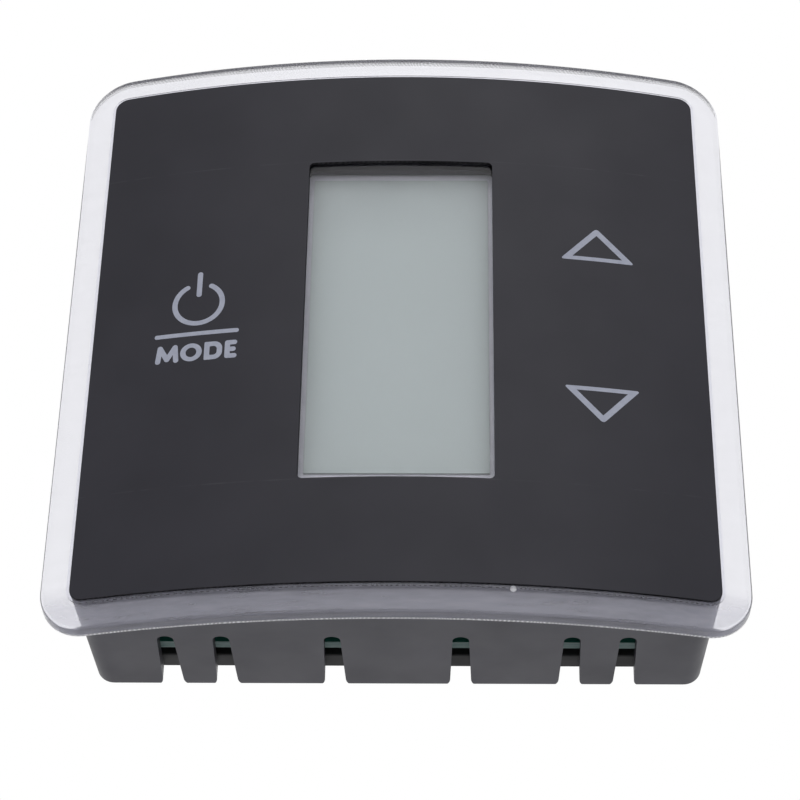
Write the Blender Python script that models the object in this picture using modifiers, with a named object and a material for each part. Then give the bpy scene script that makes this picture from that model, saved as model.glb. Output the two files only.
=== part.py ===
"""Wall thermostat with a bowed clear face, a black overlay, a tall display and three touch keys.

Every piece is drawn lying on its back: x runs across the face, y up the face and z out of the wall.
Two parent empties then stand the pieces upright, so in the world +Z is up, the face looks along -Y,
and the origin is on the wall, behind the middle of the face.
"""

import math

import bmesh
import bpy

MM = 0.001

# Clearances
SEAT_GAP = 0.1 * MM  # glue, tape or solder line between stacked flat pieces
FIT_GAP = 0.3 * MM  # between a screw and its hole, and between pieces that are pushed together

# Clear face plate
FACE_WIDTH = 90.0 * MM
FACE_HEIGHT = 90.0 * MM
FACE_THICKNESS = 2.2 * MM
FACE_FRONT = 28.3 * MM  # height of its outer surface above the wall, at the middle
FACE_CORNER = 6.2 * MM
BOW_RADIUS = 164.0 * MM
BOW_STEP = 4.5 * MM  # width of the flat strips that stand for the bow

# Black overlay on the face
OVERLAY_INSET = 3.95 * MM
OVERLAY_THICKNESS = 0.45 * MM
OVERLAY_CORNER = 1.8 * MM
WINDOW_WIDTH = 25.2 * MM
WINDOW_HEIGHT = 51.5 * MM
WINDOW_CORNER = 0.7 * MM

# Touch keys, one on the left and two on the right
KEY_FROM_EDGE = 14.1 * MM  # from the overlay's edge to the middle of a key
RIGHT_KEY_SPREAD = 12.4 * MM  # from the middle of the face up or down to a right key
KEY_HOLE = 9.0 * MM

# Housing
HOUSING_MARGIN = 0.15 * MM  # how far the housing's front edge stands outside the overlay
HOUSING_DRAFT = math.tan(math.radians(1.95))  # how much each wall leans in for each unit of height
HOUSING_CORNER = 2.4 * MM
WALL = 2.0 * MM
FRONT_WALL = 2.0 * MM
INNER_CORNER = 0.9 * MM

# Vent notches, open at the wall
NOTCH_OFFSETS = (8.3 * MM, 22.65 * MM, 29.85 * MM)
NOTCH_HEIGHT = 13.85 * MM
NOTCH_TOP_WIDTH = 2.15 * MM
NOTCH_MOUTH_WIDTH = 2.75 * MM
NOTCH_FLARE = 0.45 * MM

# Boards
BOARD_THICKNESS = 1.6 * MM
BOARD_CORNER = 1.5 * MM
MAIN_BOARD_BACK = 5.8 * MM  # above the wall
MAIN_BOARD_GAP = 0.5 * MM  # to the housing's walls
DISPLAY_BOARD_SIDE_GAP = 1.3 * MM
DISPLAY_BOARD_TOP_GAP = 0.5 * MM  # to the inside of the bowed front wall

# Posts and their screws
POST_RADIUS = 2.6 * MM
MAIN_POST_INSET = 4.4 * MM  # from the housing's inner walls to the post's axis
DISPLAY_POST_INSET = 4.2 * MM  # from the display board's edges to the post's axis
SCREW_RADIUS = 0.9 * MM
SCREW_HEAD_RADIUS = 1.9 * MM
SCREW_HEAD_HEIGHT = 1.3 * MM
SCREW_HEAD_DOME = 0.4 * MM  # height of the head's rounded part
SCREW_HEAD_TOP_RADIUS = 1.45 * MM
SCREW_TIP = 0.55 * MM
RECESS_WIDTH = 0.42 * MM
RECESS_DEPTH = 0.6 * MM
MAIN_SCREW_LENGTH = 7.0 * MM
DISPLAY_SCREW_LENGTH = 3.4 * MM
HOLE_DEPTH_SPARE = 0.5 * MM

# Display
DISPLAY_POCKET_WALL = 1.2 * MM  # housing left in front of the display, at the middle
DISPLAY_POCKET_GAP = 0.5 * MM  # around the glass
GLASS_OVERLAP = 1.3 * MM  # how far the glass reaches behind the window's edge at each side
GLASS_LEDGE = 2.4 * MM  # contact ledge of the front glass, above and below the rear glass
GLASS_THICKNESS = 1.0 * MM
POLARIZER_THICKNESS = 0.2 * MM
POLARIZER_SIDE_MARGIN = 0.65 * MM  # from the window's edge
POLARIZER_TOP_MARGIN = 0.9 * MM
POLARIZER_BOTTOM_MARGIN = 2.5 * MM
LIGHT_GUIDE_THICKNESS = 2.5 * MM
HOLDER_WALL = 1.2 * MM
HOLDER_FLOOR = 0.8 * MM
CONTACT_STRIP_DEPTH = 1.7 * MM
LED_SIZE = (3.2 * MM, 1.2 * MM, 1.6 * MM)

# Touch springs
SPRING_RADIUS = 2.9 * MM
SPRING_WIRE_RADIUS = 0.25 * MM
SPRING_TURNS = 4
SPRING_STEPS_PER_TURN = 12
SPRING_END_PITCH = 0.75 * MM  # climb of the closed turn at each end, a little over a wire's thickness

# Parts on the boards
CHIP_SIZE = (10.0 * MM, 10.0 * MM, 1.4 * MM)
CRYSTAL_SIZE = (11.0 * MM, 4.6 * MM, 3.4 * MM)
CAPACITOR_RADIUS = 2.9 * MM
CAPACITOR_HEIGHT = 7.7 * MM
INDUCTOR_SIZE = (7.0 * MM, 7.0 * MM, 3.2 * MM)
REGULATOR_SIZE = (6.6 * MM, 6.1 * MM, 2.3 * MM)
LINE_CHIP_SIZE = (5.0 * MM, 4.0 * MM, 1.5 * MM)
LINK_PINS = 6
LINK_PITCH = 2.54 * MM
LINK_DEPTH = 2.5 * MM
LINK_BODY = 2.5 * MM
PIN_WIDTH = 0.64 * MM
THERMISTOR_RADIUS = 1.2 * MM
THERMISTOR_STAND = 3.0 * MM

# Cable socket on the back of the main board
SOCKET_WIDTH = 11.0 * MM
SOCKET_LENGTH = 6.5 * MM
SOCKET_HEIGHT = 3.2 * MM
SOCKET_WALL = 0.6 * MM
SOCKET_CONTACTS = 4
SOCKET_PITCH = 2.0 * MM

# Wall plate
PLATE_THICKNESS = 2.0 * MM
PLATE_GAP = 0.6 * MM  # to the housing's walls
PLATE_CORNER = 1.2 * MM
PLATE_RIB_WIDTH = 1.4 * MM
PLATE_RIB_HEIGHT = 1.2 * MM
CABLE_OPENING_WIDTH = 36.0 * MM
CABLE_OPENING_HEIGHT = 18.0 * MM
CABLE_OPENING_RAISE = 14.0 * MM  # its middle is this far above the plate's middle
CABLE_OPENING_CORNER = 3.0 * MM
SCREW_SLOT_SPACING = 60.3 * MM
SCREW_SLOT_WIDTH = 4.4 * MM
SCREW_SLOT_LENGTH = 8.5 * MM
LATCH_SPREAD = 20.0 * MM  # from the middle of the plate up or down to a latch
LATCH_WIDTH = 8.0 * MM
LATCH_THICKNESS = 1.1 * MM
LATCH_TOP_GAP = 0.6 * MM  # to the main board
LATCH_BUMP = 0.5 * MM
LATCH_BUMP_WIDTH = 5.6 * MM
LATCH_BUMP_HEIGHT = 1.2 * MM
LATCH_LEAD_IN = 0.25 * MM  # how far the arm's upper edge leans in

CORNER_STEPS = 5
ROUND_SIDES = 24
SCREW_SIDES = 16
THROUGH = 2.0 * MM  # how far a cutter reaches past what it cuts
TINY = 0.01 * MM  # differences below this are no difference

# Heights above the wall that follow from the sizes above
FACE_BACK = FACE_FRONT - FACE_THICKNESS
HOUSING_FRONT = FACE_BACK - SEAT_GAP
HOUSING_INSIDE = HOUSING_FRONT - FRONT_WALL
MAIN_BOARD_FRONT = MAIN_BOARD_BACK + BOARD_THICKNESS
POCKET_FLOOR = HOUSING_FRONT - DISPLAY_POCKET_WALL
POLARIZER_TOP = POCKET_FLOOR - SEAT_GAP
FRONT_GLASS_TOP = POLARIZER_TOP - POLARIZER_THICKNESS - SEAT_GAP
REAR_GLASS_TOP = FRONT_GLASS_TOP - GLASS_THICKNESS - SEAT_GAP
REFLECTOR_TOP = REAR_GLASS_TOP - GLASS_THICKNESS - SEAT_GAP
LIGHT_GUIDE_TOP = REFLECTOR_TOP - POLARIZER_THICKNESS - SEAT_GAP
HOLDER_FLOOR_TOP = LIGHT_GUIDE_TOP - LIGHT_GUIDE_THICKNESS - SEAT_GAP
DISPLAY_BOARD_FRONT = HOLDER_FLOOR_TOP - HOLDER_FLOOR - SEAT_GAP
DISPLAY_BOARD_BACK = DISPLAY_BOARD_FRONT - BOARD_THICKNESS

# Widths and heights across the face that follow from the sizes above
OVERLAY_WIDTH = FACE_WIDTH - 2 * OVERLAY_INSET
OVERLAY_HEIGHT = FACE_HEIGHT - 2 * OVERLAY_INSET
KEY_X = OVERLAY_WIDTH / 2 - KEY_FROM_EDGE
KEYS = {"mode": (-KEY_X, 0.0), "up": (KEY_X, RIGHT_KEY_SPREAD), "down": (KEY_X, -RIGHT_KEY_SPREAD)}
GLASS_WIDTH = WINDOW_WIDTH + 2 * GLASS_OVERLAP
GLASS_HEIGHT = WINDOW_HEIGHT + 2 * GLASS_OVERLAP + GLASS_LEDGE / 2
REAR_GLASS_HEIGHT = GLASS_HEIGHT - 2 * GLASS_LEDGE


def housing_half(span, height):
    """Half of the housing's outer width or height, at a height above the wall."""
    front_half = span / 2 - OVERLAY_INSET + HOUSING_MARGIN
    return front_half - HOUSING_DRAFT * (FACE_FRONT - height)


def inner_half(span, height):
    """Half of the housing's inner width or height, at a height above the wall."""
    return housing_half(span, height) - WALL


def face_sag(x):
    """How far the bowed face has dropped towards the wall at a distance x from its middle."""
    return BOW_RADIUS - math.sqrt(BOW_RADIUS**2 - x**2)


def reach_of_bow(drop):
    """The distance from the middle at which the bowed face has dropped this far."""
    return math.sqrt(BOW_RADIUS**2 - (BOW_RADIUS - drop) ** 2)


MAIN_BOARD_WIDTH = 2 * (inner_half(FACE_WIDTH, MAIN_BOARD_BACK) - MAIN_BOARD_GAP)
MAIN_BOARD_HEIGHT = 2 * (inner_half(FACE_HEIGHT, MAIN_BOARD_BACK) - MAIN_BOARD_GAP)
MAIN_POST_X = inner_half(FACE_WIDTH, MAIN_BOARD_BACK) - MAIN_POST_INSET
MAIN_POST_Y = inner_half(FACE_HEIGHT, MAIN_BOARD_BACK) - MAIN_POST_INSET
DISPLAY_BOARD_WIDTH = 2 * min(
    inner_half(FACE_WIDTH, DISPLAY_BOARD_BACK) - DISPLAY_BOARD_SIDE_GAP,
    reach_of_bow(HOUSING_INSIDE - DISPLAY_BOARD_FRONT - DISPLAY_BOARD_TOP_GAP),
)
DISPLAY_BOARD_HEIGHT = 2 * (MAIN_POST_Y - POST_RADIUS - FIT_GAP)
DISPLAY_POST_X = DISPLAY_BOARD_WIDTH / 2 - DISPLAY_POST_INSET
DISPLAY_POST_Y = DISPLAY_BOARD_HEIGHT / 2 - DISPLAY_POST_INSET
PLATE_WIDTH = 2 * (inner_half(FACE_WIDTH, 0.0) - PLATE_GAP)
PLATE_HEIGHT = 2 * (inner_half(FACE_HEIGHT, 0.0) - PLATE_GAP)


# ---- scene and helpers ----


def clear_scene():
    for item in list(bpy.data.objects):
        bpy.data.objects.remove(item, do_unlink=True)


def new_collection(name):
    collection = bpy.data.collections.new(name)
    bpy.context.scene.collection.children.link(collection)
    return collection


def make_material(name, colour, roughness, metallic=0.0, transmission=0.0):
    material = bpy.data.materials.new(name)
    material.use_nodes = True
    shader = material.node_tree.nodes["Principled BSDF"]
    shader.inputs["Base Color"].default_value = (*colour, 1.0)
    shader.inputs["Roughness"].default_value = roughness
    shader.inputs["Metallic"].default_value = metallic
    shader.inputs["Transmission Weight"].default_value = transmission
    return material


def corners(x, y):
    """The four places that mirror (x, y) across the middle."""
    return [(side * x, end * y) for side in (-1, 1) for end in (-1, 1)]


def round_edges(bm, edges, radius):
    bmesh.ops.bevel(
        bm, geom=edges, offset=radius, segments=CORNER_STEPS, profile=0.5, affect="EDGES", material=-1
    )


def block(width, height, bottom, top, corner=0.0, centre=(0.0, 0.0)):
    """A bmesh block standing on the face plane, with its upright edges rounded."""
    bm = bmesh.new()
    bmesh.ops.create_cube(bm, size=1.0)
    bmesh.ops.scale(bm, vec=(width, height, top - bottom), verts=bm.verts)
    bmesh.ops.translate(bm, vec=(centre[0], centre[1], (bottom + top) / 2), verts=bm.verts)
    if corner > 0.0:
        upright = [edge for edge in bm.edges if abs(edge.verts[0].co.z - edge.verts[1].co.z) > TINY]
        round_edges(bm, upright, corner)
    return bm


def cylinder(radius, bottom, top, centre=(0.0, 0.0), sides=ROUND_SIDES):
    """A bmesh cylinder standing on the face plane."""
    bm = bmesh.new()
    bmesh.ops.create_cone(
        bm, cap_ends=True, segments=sides, radius1=radius, radius2=radius, depth=top - bottom
    )
    bmesh.ops.translate(bm, vec=(centre[0], centre[1], (bottom + top) / 2), verts=bm.verts)
    return bm


def together(pieces):
    """One bmesh that holds several, as a cutter does for a row of holes."""
    whole = bmesh.new()
    for piece in pieces:
        mesh = bpy.data.meshes.new("step")
        piece.to_mesh(mesh)
        piece.free()
        whole.from_mesh(mesh)
        bpy.data.meshes.remove(mesh)
    return whole


def slice_strips(bm, width, top_only):
    """Cuts a mesh, or only its upper face, into the flat strips that stand for the bow."""
    count = int(width / 2 / BOW_STEP)
    nearly_up = 0.9
    for index in range(-count, count + 1):
        bm.normal_update()
        faces = [face for face in bm.faces if face.normal.z > nearly_up or not top_only]
        edges = {edge for face in faces for edge in face.edges}
        verts = {vert for face in faces for vert in face.verts}
        bmesh.ops.bisect_plane(
            bm,
            geom=[*verts, *edges, *faces],
            dist=TINY / 100,
            plane_co=(index * BOW_STEP, 0.0, 0.0),
            plane_no=(1.0, 0.0, 0.0),
        )


def bow(bm, width):
    """Bends a flat slab along the bow of the face."""
    slice_strips(bm, width, top_only=False)
    for vert in bm.verts:
        vert.co.z -= face_sag(vert.co.x)
    return bm


def bow_top(bm, width, above, draft):
    """Lets the upper face of a block drop along the bow, each point sliding down its drafted wall."""
    slice_strips(bm, width, top_only=True)
    for vert in bm.verts:
        if vert.co.z < above:
            continue
        drop = 0.0
        for _ in range(4):
            drop = face_sag(abs(vert.co.x) - draft * drop)
        vert.co.x -= math.copysign(draft * drop, vert.co.x)
        vert.co.y -= math.copysign(draft * drop, vert.co.y)
        vert.co.z -= drop
    return bm


def place(name, bm, material, parent=None):
    """Makes a named object in the part's collection, or a hidden helper when it has no material."""
    mesh = bpy.data.meshes.new(name)
    bm.to_mesh(mesh)
    bm.free()
    item = bpy.data.objects.new(name, mesh)
    if material is None:
        item.hide_render = True
        item.display_type = "WIRE"
        helpers.objects.link(item)
        return item
    mesh.materials.append(material)
    item.parent = parent
    part.objects.link(item)
    return item


def boolean(target, bm, operation, name):
    """Cuts a bmesh out of an object or joins it on, in the object's own space."""
    tool = place(f"{target.name}_{name}", bm, None)
    tool.parent = target.parent
    modifier = target.modifiers.new(name, "BOOLEAN")
    modifier.operation = operation
    modifier.solver = "EXACT"
    modifier.object = tool


def cut(target, bm, name):
    boolean(target, bm, "DIFFERENCE", name)


def join(target, bm, name):
    boolean(target, bm, "UNION", name)


def smooth(item, degrees=35.0):
    item.data.shade_smooth()
    item.data.set_sharp_from_angle(angle=math.radians(degrees))
    return item


def finished_mesh(item):
    """The mesh of an object with its modifiers applied."""
    bpy.context.view_layer.update()
    graph = bpy.context.evaluated_depsgraph_get()
    return bpy.data.meshes.new_from_object(item.evaluated_get(graph))


# ---- face ----


def make_face_plate():
    plate = block(FACE_WIDTH, FACE_HEIGHT, FACE_BACK, FACE_FRONT, FACE_CORNER)
    return smooth(place("face_plate", bow(plate, FACE_WIDTH), clear_acrylic, front_unit))


def make_overlay():
    bottom = FACE_FRONT + SEAT_GAP
    top = bottom + OVERLAY_THICKNESS
    sheet = bow(block(OVERLAY_WIDTH, OVERLAY_HEIGHT, bottom, top, OVERLAY_CORNER), OVERLAY_WIDTH)
    overlay = smooth(place("overlay", sheet, black_film, front_unit))
    window = block(WINDOW_WIDTH, WINDOW_HEIGHT, bottom - THROUGH, top + THROUGH, WINDOW_CORNER)
    cut(overlay, window, "window")


# ---- housing ----


def drafted_block(inset, bottom, top, corner):
    """A block that follows the housing's draft and bow, a given distance inside its outer walls."""
    width = 2 * (housing_half(FACE_WIDTH, top) - inset)
    height = 2 * (housing_half(FACE_HEIGHT, top) - inset)
    bm = block(width, height, bottom, top)
    middle = (bottom + top) / 2
    narrower = HOUSING_DRAFT * (top - bottom)
    for vert in bm.verts:
        if vert.co.z < middle:
            vert.co.x -= math.copysign(narrower, vert.co.x)
            vert.co.y -= math.copysign(narrower, vert.co.y)
    slanted = [edge for edge in bm.edges if abs(edge.verts[0].co.z - edge.verts[1].co.z) > TINY]
    round_edges(bm, slanted, corner)
    return bow_top(bm, width, middle, HOUSING_DRAFT)


def notch_outline():
    """Half of a notch's outline from its mouth to the middle of its round top, as (x, height)."""
    steps = range(CORNER_STEPS + 1)
    quarter = [math.pi / 2 * step / CORNER_STEPS for step in steps]
    mouth_centre = NOTCH_MOUTH_WIDTH / 2 + NOTCH_FLARE
    radius = NOTCH_TOP_WIDTH / 2
    crown_centre = NOTCH_HEIGHT - radius
    outline = [(mouth_centre, -THROUGH)]
    for angle in quarter:
        outline.append((mouth_centre - NOTCH_FLARE * math.sin(angle), NOTCH_FLARE * (1 - math.cos(angle))))
    for angle in quarter:
        outline.append((radius * math.cos(angle), crown_centre + radius * math.sin(angle)))
    return outline


def notch_cutter(x, wall_y):
    """A prism of the notch's shape through the wall at wall_y."""
    half = notch_outline()
    outline = half + [(-u, w) for u, w in reversed(half[:-1])]
    bm = bmesh.new()
    depth = WALL + 2 * THROUGH
    near = [bm.verts.new((x + u, wall_y - depth / 2, w)) for u, w in outline]
    sheet = bm.faces.new(near)
    grown = bmesh.ops.extrude_face_region(bm, geom=[sheet])["geom"]
    far = [item for item in grown if isinstance(item, bmesh.types.BMVert)]
    bmesh.ops.translate(bm, vec=(0, depth, 0), verts=far)
    bmesh.ops.recalc_face_normals(bm, faces=bm.faces)
    return bm


def post(x, y, bottom):
    """A round post from a board up into the housing's front wall."""
    top = HOUSING_INSIDE - face_sag(x) + FRONT_WALL / 2
    return cylinder(POST_RADIUS, bottom, top, (x, y))


def screw_hole(x, y, bottom, screw_reach):
    top = bottom + screw_reach + HOLE_DEPTH_SPARE
    return cylinder(SCREW_RADIUS + FIT_GAP, bottom - THROUGH, top, (x, y), SCREW_SIDES)


def make_housing():
    shell = drafted_block(0.0, 0.0, HOUSING_FRONT, HOUSING_CORNER)
    housing = place("housing", shell, dark_abs, front_unit)
    cut(housing, drafted_block(WALL, -THROUGH, HOUSING_INSIDE, INNER_CORNER), "inside")
    main_places = corners(MAIN_POST_X, MAIN_POST_Y)
    display_places = corners(DISPLAY_POST_X, DISPLAY_POST_Y)
    main_seat = MAIN_BOARD_FRONT + SEAT_GAP
    display_seat = DISPLAY_BOARD_FRONT + SEAT_GAP
    join(housing, together([post(x, y, main_seat) for x, y in main_places]), "main_posts")
    join(housing, together([post(x, y, display_seat) for x, y in display_places]), "display_posts")
    main_reach = MAIN_SCREW_LENGTH - BOARD_THICKNESS
    display_reach = DISPLAY_SCREW_LENGTH - BOARD_THICKNESS
    holes = [screw_hole(x, y, main_seat, main_reach) for x, y in main_places]
    holes += [screw_hole(x, y, display_seat, display_reach) for x, y in display_places]
    cut(housing, together(holes), "screw_holes")
    pocket_width = GLASS_WIDTH + 2 * DISPLAY_POCKET_GAP
    pocket_height = GLASS_HEIGHT + 2 * DISPLAY_POCKET_GAP
    pocket = block(pocket_width, pocket_height, DISPLAY_BOARD_FRONT, POCKET_FLOOR)
    cut(housing, pocket, "display_pocket")
    past_front = HOUSING_FRONT + THROUGH
    openings = [block(WINDOW_WIDTH, WINDOW_HEIGHT, DISPLAY_BOARD_FRONT, past_front, WINDOW_CORNER)]
    for key_place in KEYS.values():
        openings.append(cylinder(KEY_HOLE / 2, DISPLAY_BOARD_FRONT, past_front, key_place))
    cut(housing, together(openings), "openings")
    wall_y = inner_half(FACE_HEIGHT, NOTCH_HEIGHT / 2) + WALL / 2
    notches = [notch_cutter(x, y) for offset in NOTCH_OFFSETS for x, y in corners(offset, wall_y)]
    cut(housing, together(notches), "vents")
    smooth(housing)


# ---- display ----


def make_display():
    width = WINDOW_WIDTH - 2 * POLARIZER_SIDE_MARGIN
    height = WINDOW_HEIGHT - POLARIZER_TOP_MARGIN - POLARIZER_BOTTOM_MARGIN
    polarizer_bottom = POLARIZER_TOP - POLARIZER_THICKNESS
    raised = (0.0, (POLARIZER_BOTTOM_MARGIN - POLARIZER_TOP_MARGIN) / 2)
    sheet = block(width, height, polarizer_bottom, POLARIZER_TOP, centre=raised)
    place("display_front_polarizer", sheet, polarizer_grey, front_unit)
    front = block(GLASS_WIDTH, GLASS_HEIGHT, FRONT_GLASS_TOP - GLASS_THICKNESS, FRONT_GLASS_TOP)
    place("display_front_glass", front, display_glass, front_unit)
    rear = block(GLASS_WIDTH, REAR_GLASS_HEIGHT, REAR_GLASS_TOP - GLASS_THICKNESS, REAR_GLASS_TOP)
    place("display_rear_glass", rear, display_glass, front_unit)
    reflector = block(
        GLASS_WIDTH, REAR_GLASS_HEIGHT, REFLECTOR_TOP - POLARIZER_THICKNESS, REFLECTOR_TOP
    )
    place("display_reflector", reflector, reflector_white, front_unit)


def make_backlight():
    led_width, led_depth, led_height = LED_SIZE
    guide_bottom = LIGHT_GUIDE_TOP - LIGHT_GUIDE_THICKNESS
    low_edge = -REAR_GLASS_HEIGHT / 2 + led_depth + 2 * FIT_GAP
    high_edge = REAR_GLASS_HEIGHT / 2
    middle = (0.0, (low_edge + high_edge) / 2)
    guide = block(GLASS_WIDTH, high_edge - low_edge, guide_bottom, LIGHT_GUIDE_TOP, centre=middle)
    place("light_guide", guide, milky_acrylic, front_unit)
    led_y = low_edge - FIT_GAP - led_depth / 2
    for side, name in ((-1, "backlight_led_left"), (1, "backlight_led_right")):
        beside = (side * GLASS_WIDTH / 4, led_y)
        led = block(led_width, led_depth, guide_bottom, guide_bottom + led_height, centre=beside)
        place(name, led, led_white, front_unit)


def make_display_holder():
    """The white frame that carries the glass, the light guide and the contact strips."""
    inner_width = GLASS_WIDTH + 2 * FIT_GAP
    inner_height = GLASS_HEIGHT + 2 * FIT_GAP
    width = inner_width + 2 * HOLDER_WALL
    height = inner_height + 2 * HOLDER_WALL
    bottom = DISPLAY_BOARD_FRONT + SEAT_GAP
    top = HOUSING_INSIDE - face_sag(width / 2) - FIT_GAP
    frame = block(width, height, bottom, top, INNER_CORNER)
    holder = place("display_holder", frame, holder_white, front_unit)
    tray = block(inner_width, inner_height, HOLDER_FLOOR_TOP, top + THROUGH)
    slot_width = strip_width() + 2 * FIT_GAP
    slot_depth = CONTACT_STRIP_DEPTH + 2 * FIT_GAP
    slot_top = HOLDER_FLOOR_TOP + THROUGH / 2
    slots = []
    for end in (-1, 1):
        under_ledge = (0.0, end * strip_y())
        slots.append(block(slot_width, slot_depth, bottom - THROUGH, slot_top, centre=under_ledge))
    cut(holder, tray, "tray")
    cut(holder, together(slots), "strip_slots")


def strip_y():
    """Distance from the middle of the display to a contact strip, under the middle of the glass ledge."""
    return GLASS_HEIGHT / 2 - GLASS_LEDGE / 2


def strip_width():
    return GLASS_WIDTH - 2 * HOLDER_WALL


def make_contact_strips():
    """The rubber strips that press the glass contacts onto the display board."""
    bottom = DISPLAY_BOARD_FRONT + SEAT_GAP
    top = FRONT_GLASS_TOP - GLASS_THICKNESS - SEAT_GAP
    for end, name in ((-1, "contact_strip_bottom"), (1, "contact_strip_top")):
        under_ledge = (0.0, end * strip_y())
        strip = block(strip_width(), CONTACT_STRIP_DEPTH, bottom, top, centre=under_ledge)
        place(name, strip, strip_rubber, front_unit)


# ---- touch springs ----


def make_touch_spring(key):
    """A coil from the display board to the back of the face plate, under one key."""
    x, y = KEYS[key]
    farthest = abs(x) + SPRING_RADIUS + SPRING_WIRE_RADIUS
    bottom = DISPLAY_BOARD_FRONT + SPRING_WIRE_RADIUS + SEAT_GAP
    top = FACE_BACK - face_sag(farthest) - SPRING_WIRE_RADIUS - SEAT_GAP
    open_pitch = (top - bottom - 2 * SPRING_END_PITCH) / SPRING_TURNS
    steps = (SPRING_TURNS + 2) * SPRING_STEPS_PER_TURN
    data = bpy.data.curves.new(f"touch_spring_{key}", "CURVE")
    data.dimensions = "3D"
    data.bevel_depth = SPRING_WIRE_RADIUS
    data.bevel_resolution = 1
    data.use_fill_caps = True
    spline = data.splines.new("POLY")
    spline.points.add(steps)
    for index in range(steps + 1):
        turn = index / SPRING_STEPS_PER_TURN
        open_turns = min(max(turn - 1, 0), SPRING_TURNS)
        climb = open_turns * open_pitch + (turn - open_turns) * SPRING_END_PITCH
        angle = 2 * math.pi * turn
        across = SPRING_RADIUS * math.cos(angle)
        upwards = SPRING_RADIUS * math.sin(angle)
        spline.points[index].co = (across, upwards, climb, 1.0)
    spring = bpy.data.objects.new(data.name, data)
    data.materials.append(spring_steel)
    spring.parent = front_unit
    spring.location = (x, y, bottom)
    part.objects.link(spring)


# ---- boards ----


def screw_holes_in_board(places, bottom, top):
    """Holes for the screws, a gap wider than their shanks."""
    radius = SCREW_RADIUS + FIT_GAP
    low = bottom - THROUGH
    high = top + THROUGH
    return together([cylinder(radius, low, high, hole_place, SCREW_SIDES) for hole_place in places])


def make_display_board():
    back = DISPLAY_BOARD_BACK
    front = DISPLAY_BOARD_FRONT
    sheet = block(DISPLAY_BOARD_WIDTH, DISPLAY_BOARD_HEIGHT, back, front, BOARD_CORNER)
    board = place("display_board", sheet, board_green, front_unit)
    holes = screw_holes_in_board(corners(DISPLAY_POST_X, DISPLAY_POST_Y), back, front)
    cut(board, holes, "holes")


def make_main_board():
    sheet = block(MAIN_BOARD_WIDTH, MAIN_BOARD_HEIGHT, MAIN_BOARD_BACK, MAIN_BOARD_FRONT, BOARD_CORNER)
    board = place("main_board", sheet, board_green, front_unit)
    holes = screw_holes_in_board(corners(MAIN_POST_X, MAIN_POST_Y), MAIN_BOARD_BACK, MAIN_BOARD_FRONT)
    cut(board, holes, "holes")


def chip(name, size, centre, face, direction, material):
    """A block on a board, whose surface is at face; direction is 1 on its front and -1 on its back."""
    near = face + direction * SEAT_GAP
    far = near + direction * size[2]
    bm = block(size[0], size[1], min(near, far), max(near, far), centre=centre)
    place(name, bm, material, front_unit)


def make_board_parts():
    chip_y = -DISPLAY_BOARD_HEIGHT / 4
    crystal_x = CHIP_SIZE[0] / 2 + CRYSTAL_SIZE[0]
    chip("microcontroller", CHIP_SIZE, (0.0, chip_y), DISPLAY_BOARD_BACK, -1, chip_black)
    chip("clock_crystal", CRYSTAL_SIZE, (crystal_x, chip_y), DISPLAY_BOARD_BACK, -1, bright_metal)
    power_x = MAIN_BOARD_WIDTH / 4
    low_y = -MAIN_BOARD_HEIGHT / 4
    chip("power_inductor", INDUCTOR_SIZE, (-power_x, 0.0), MAIN_BOARD_FRONT, 1, chip_black)
    chip("power_regulator", REGULATOR_SIZE, (-power_x, low_y), MAIN_BOARD_FRONT, 1, chip_black)
    chip("line_chip", LINE_CHIP_SIZE, (power_x, low_y), MAIN_BOARD_FRONT, 1, chip_black)


def make_capacitors():
    """Two electrolytic cans beside the display board's upper edge, where they may stand tall."""
    y = MAIN_BOARD_HEIGHT / 2 - CAPACITOR_RADIUS - FIT_GAP
    bottom = MAIN_BOARD_FRONT + SEAT_GAP
    for side, name in ((-1, "capacitor_left"), (1, "capacitor_right")):
        middle = (side * MAIN_POST_X / 2, y)
        can = cylinder(CAPACITOR_RADIUS, bottom, bottom + CAPACITOR_HEIGHT, middle)
        smooth(place(name, can, bright_metal, front_unit))


def make_thermistor():
    """The air sensor: a bead that stands on two leads behind the lower vent notches."""
    x = (NOTCH_OFFSETS[0] + NOTCH_OFFSETS[1]) / 2
    y = -MAIN_BOARD_HEIGHT / 2 + 3 * THERMISTOR_RADIUS
    bottom = MAIN_BOARD_FRONT + SEAT_GAP
    middle = bottom + THERMISTOR_STAND + THERMISTOR_RADIUS
    bead = bmesh.new()
    bmesh.ops.create_uvsphere(
        bead, u_segments=SCREW_SIDES, v_segments=SCREW_SIDES // 2, radius=THERMISTOR_RADIUS
    )
    bmesh.ops.translate(bead, vec=(x, y, middle), verts=bead.verts)
    sensor = place("air_thermistor", bead, bead_black, front_unit)
    inside_bead = middle - THERMISTOR_RADIUS / 2
    leads = []
    for shift in (-THERMISTOR_RADIUS / 2, THERMISTOR_RADIUS / 2):
        leads.append(block(PIN_WIDTH, PIN_WIDTH, bottom, inside_bead, centre=(x + shift, y)))
    join(sensor, together(leads), "leads")
    smooth(sensor)


def row_of(count, pitch):
    """Places along x of a centred row."""
    return [(index - (count - 1) / 2) * pitch for index in range(count)]


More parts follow.
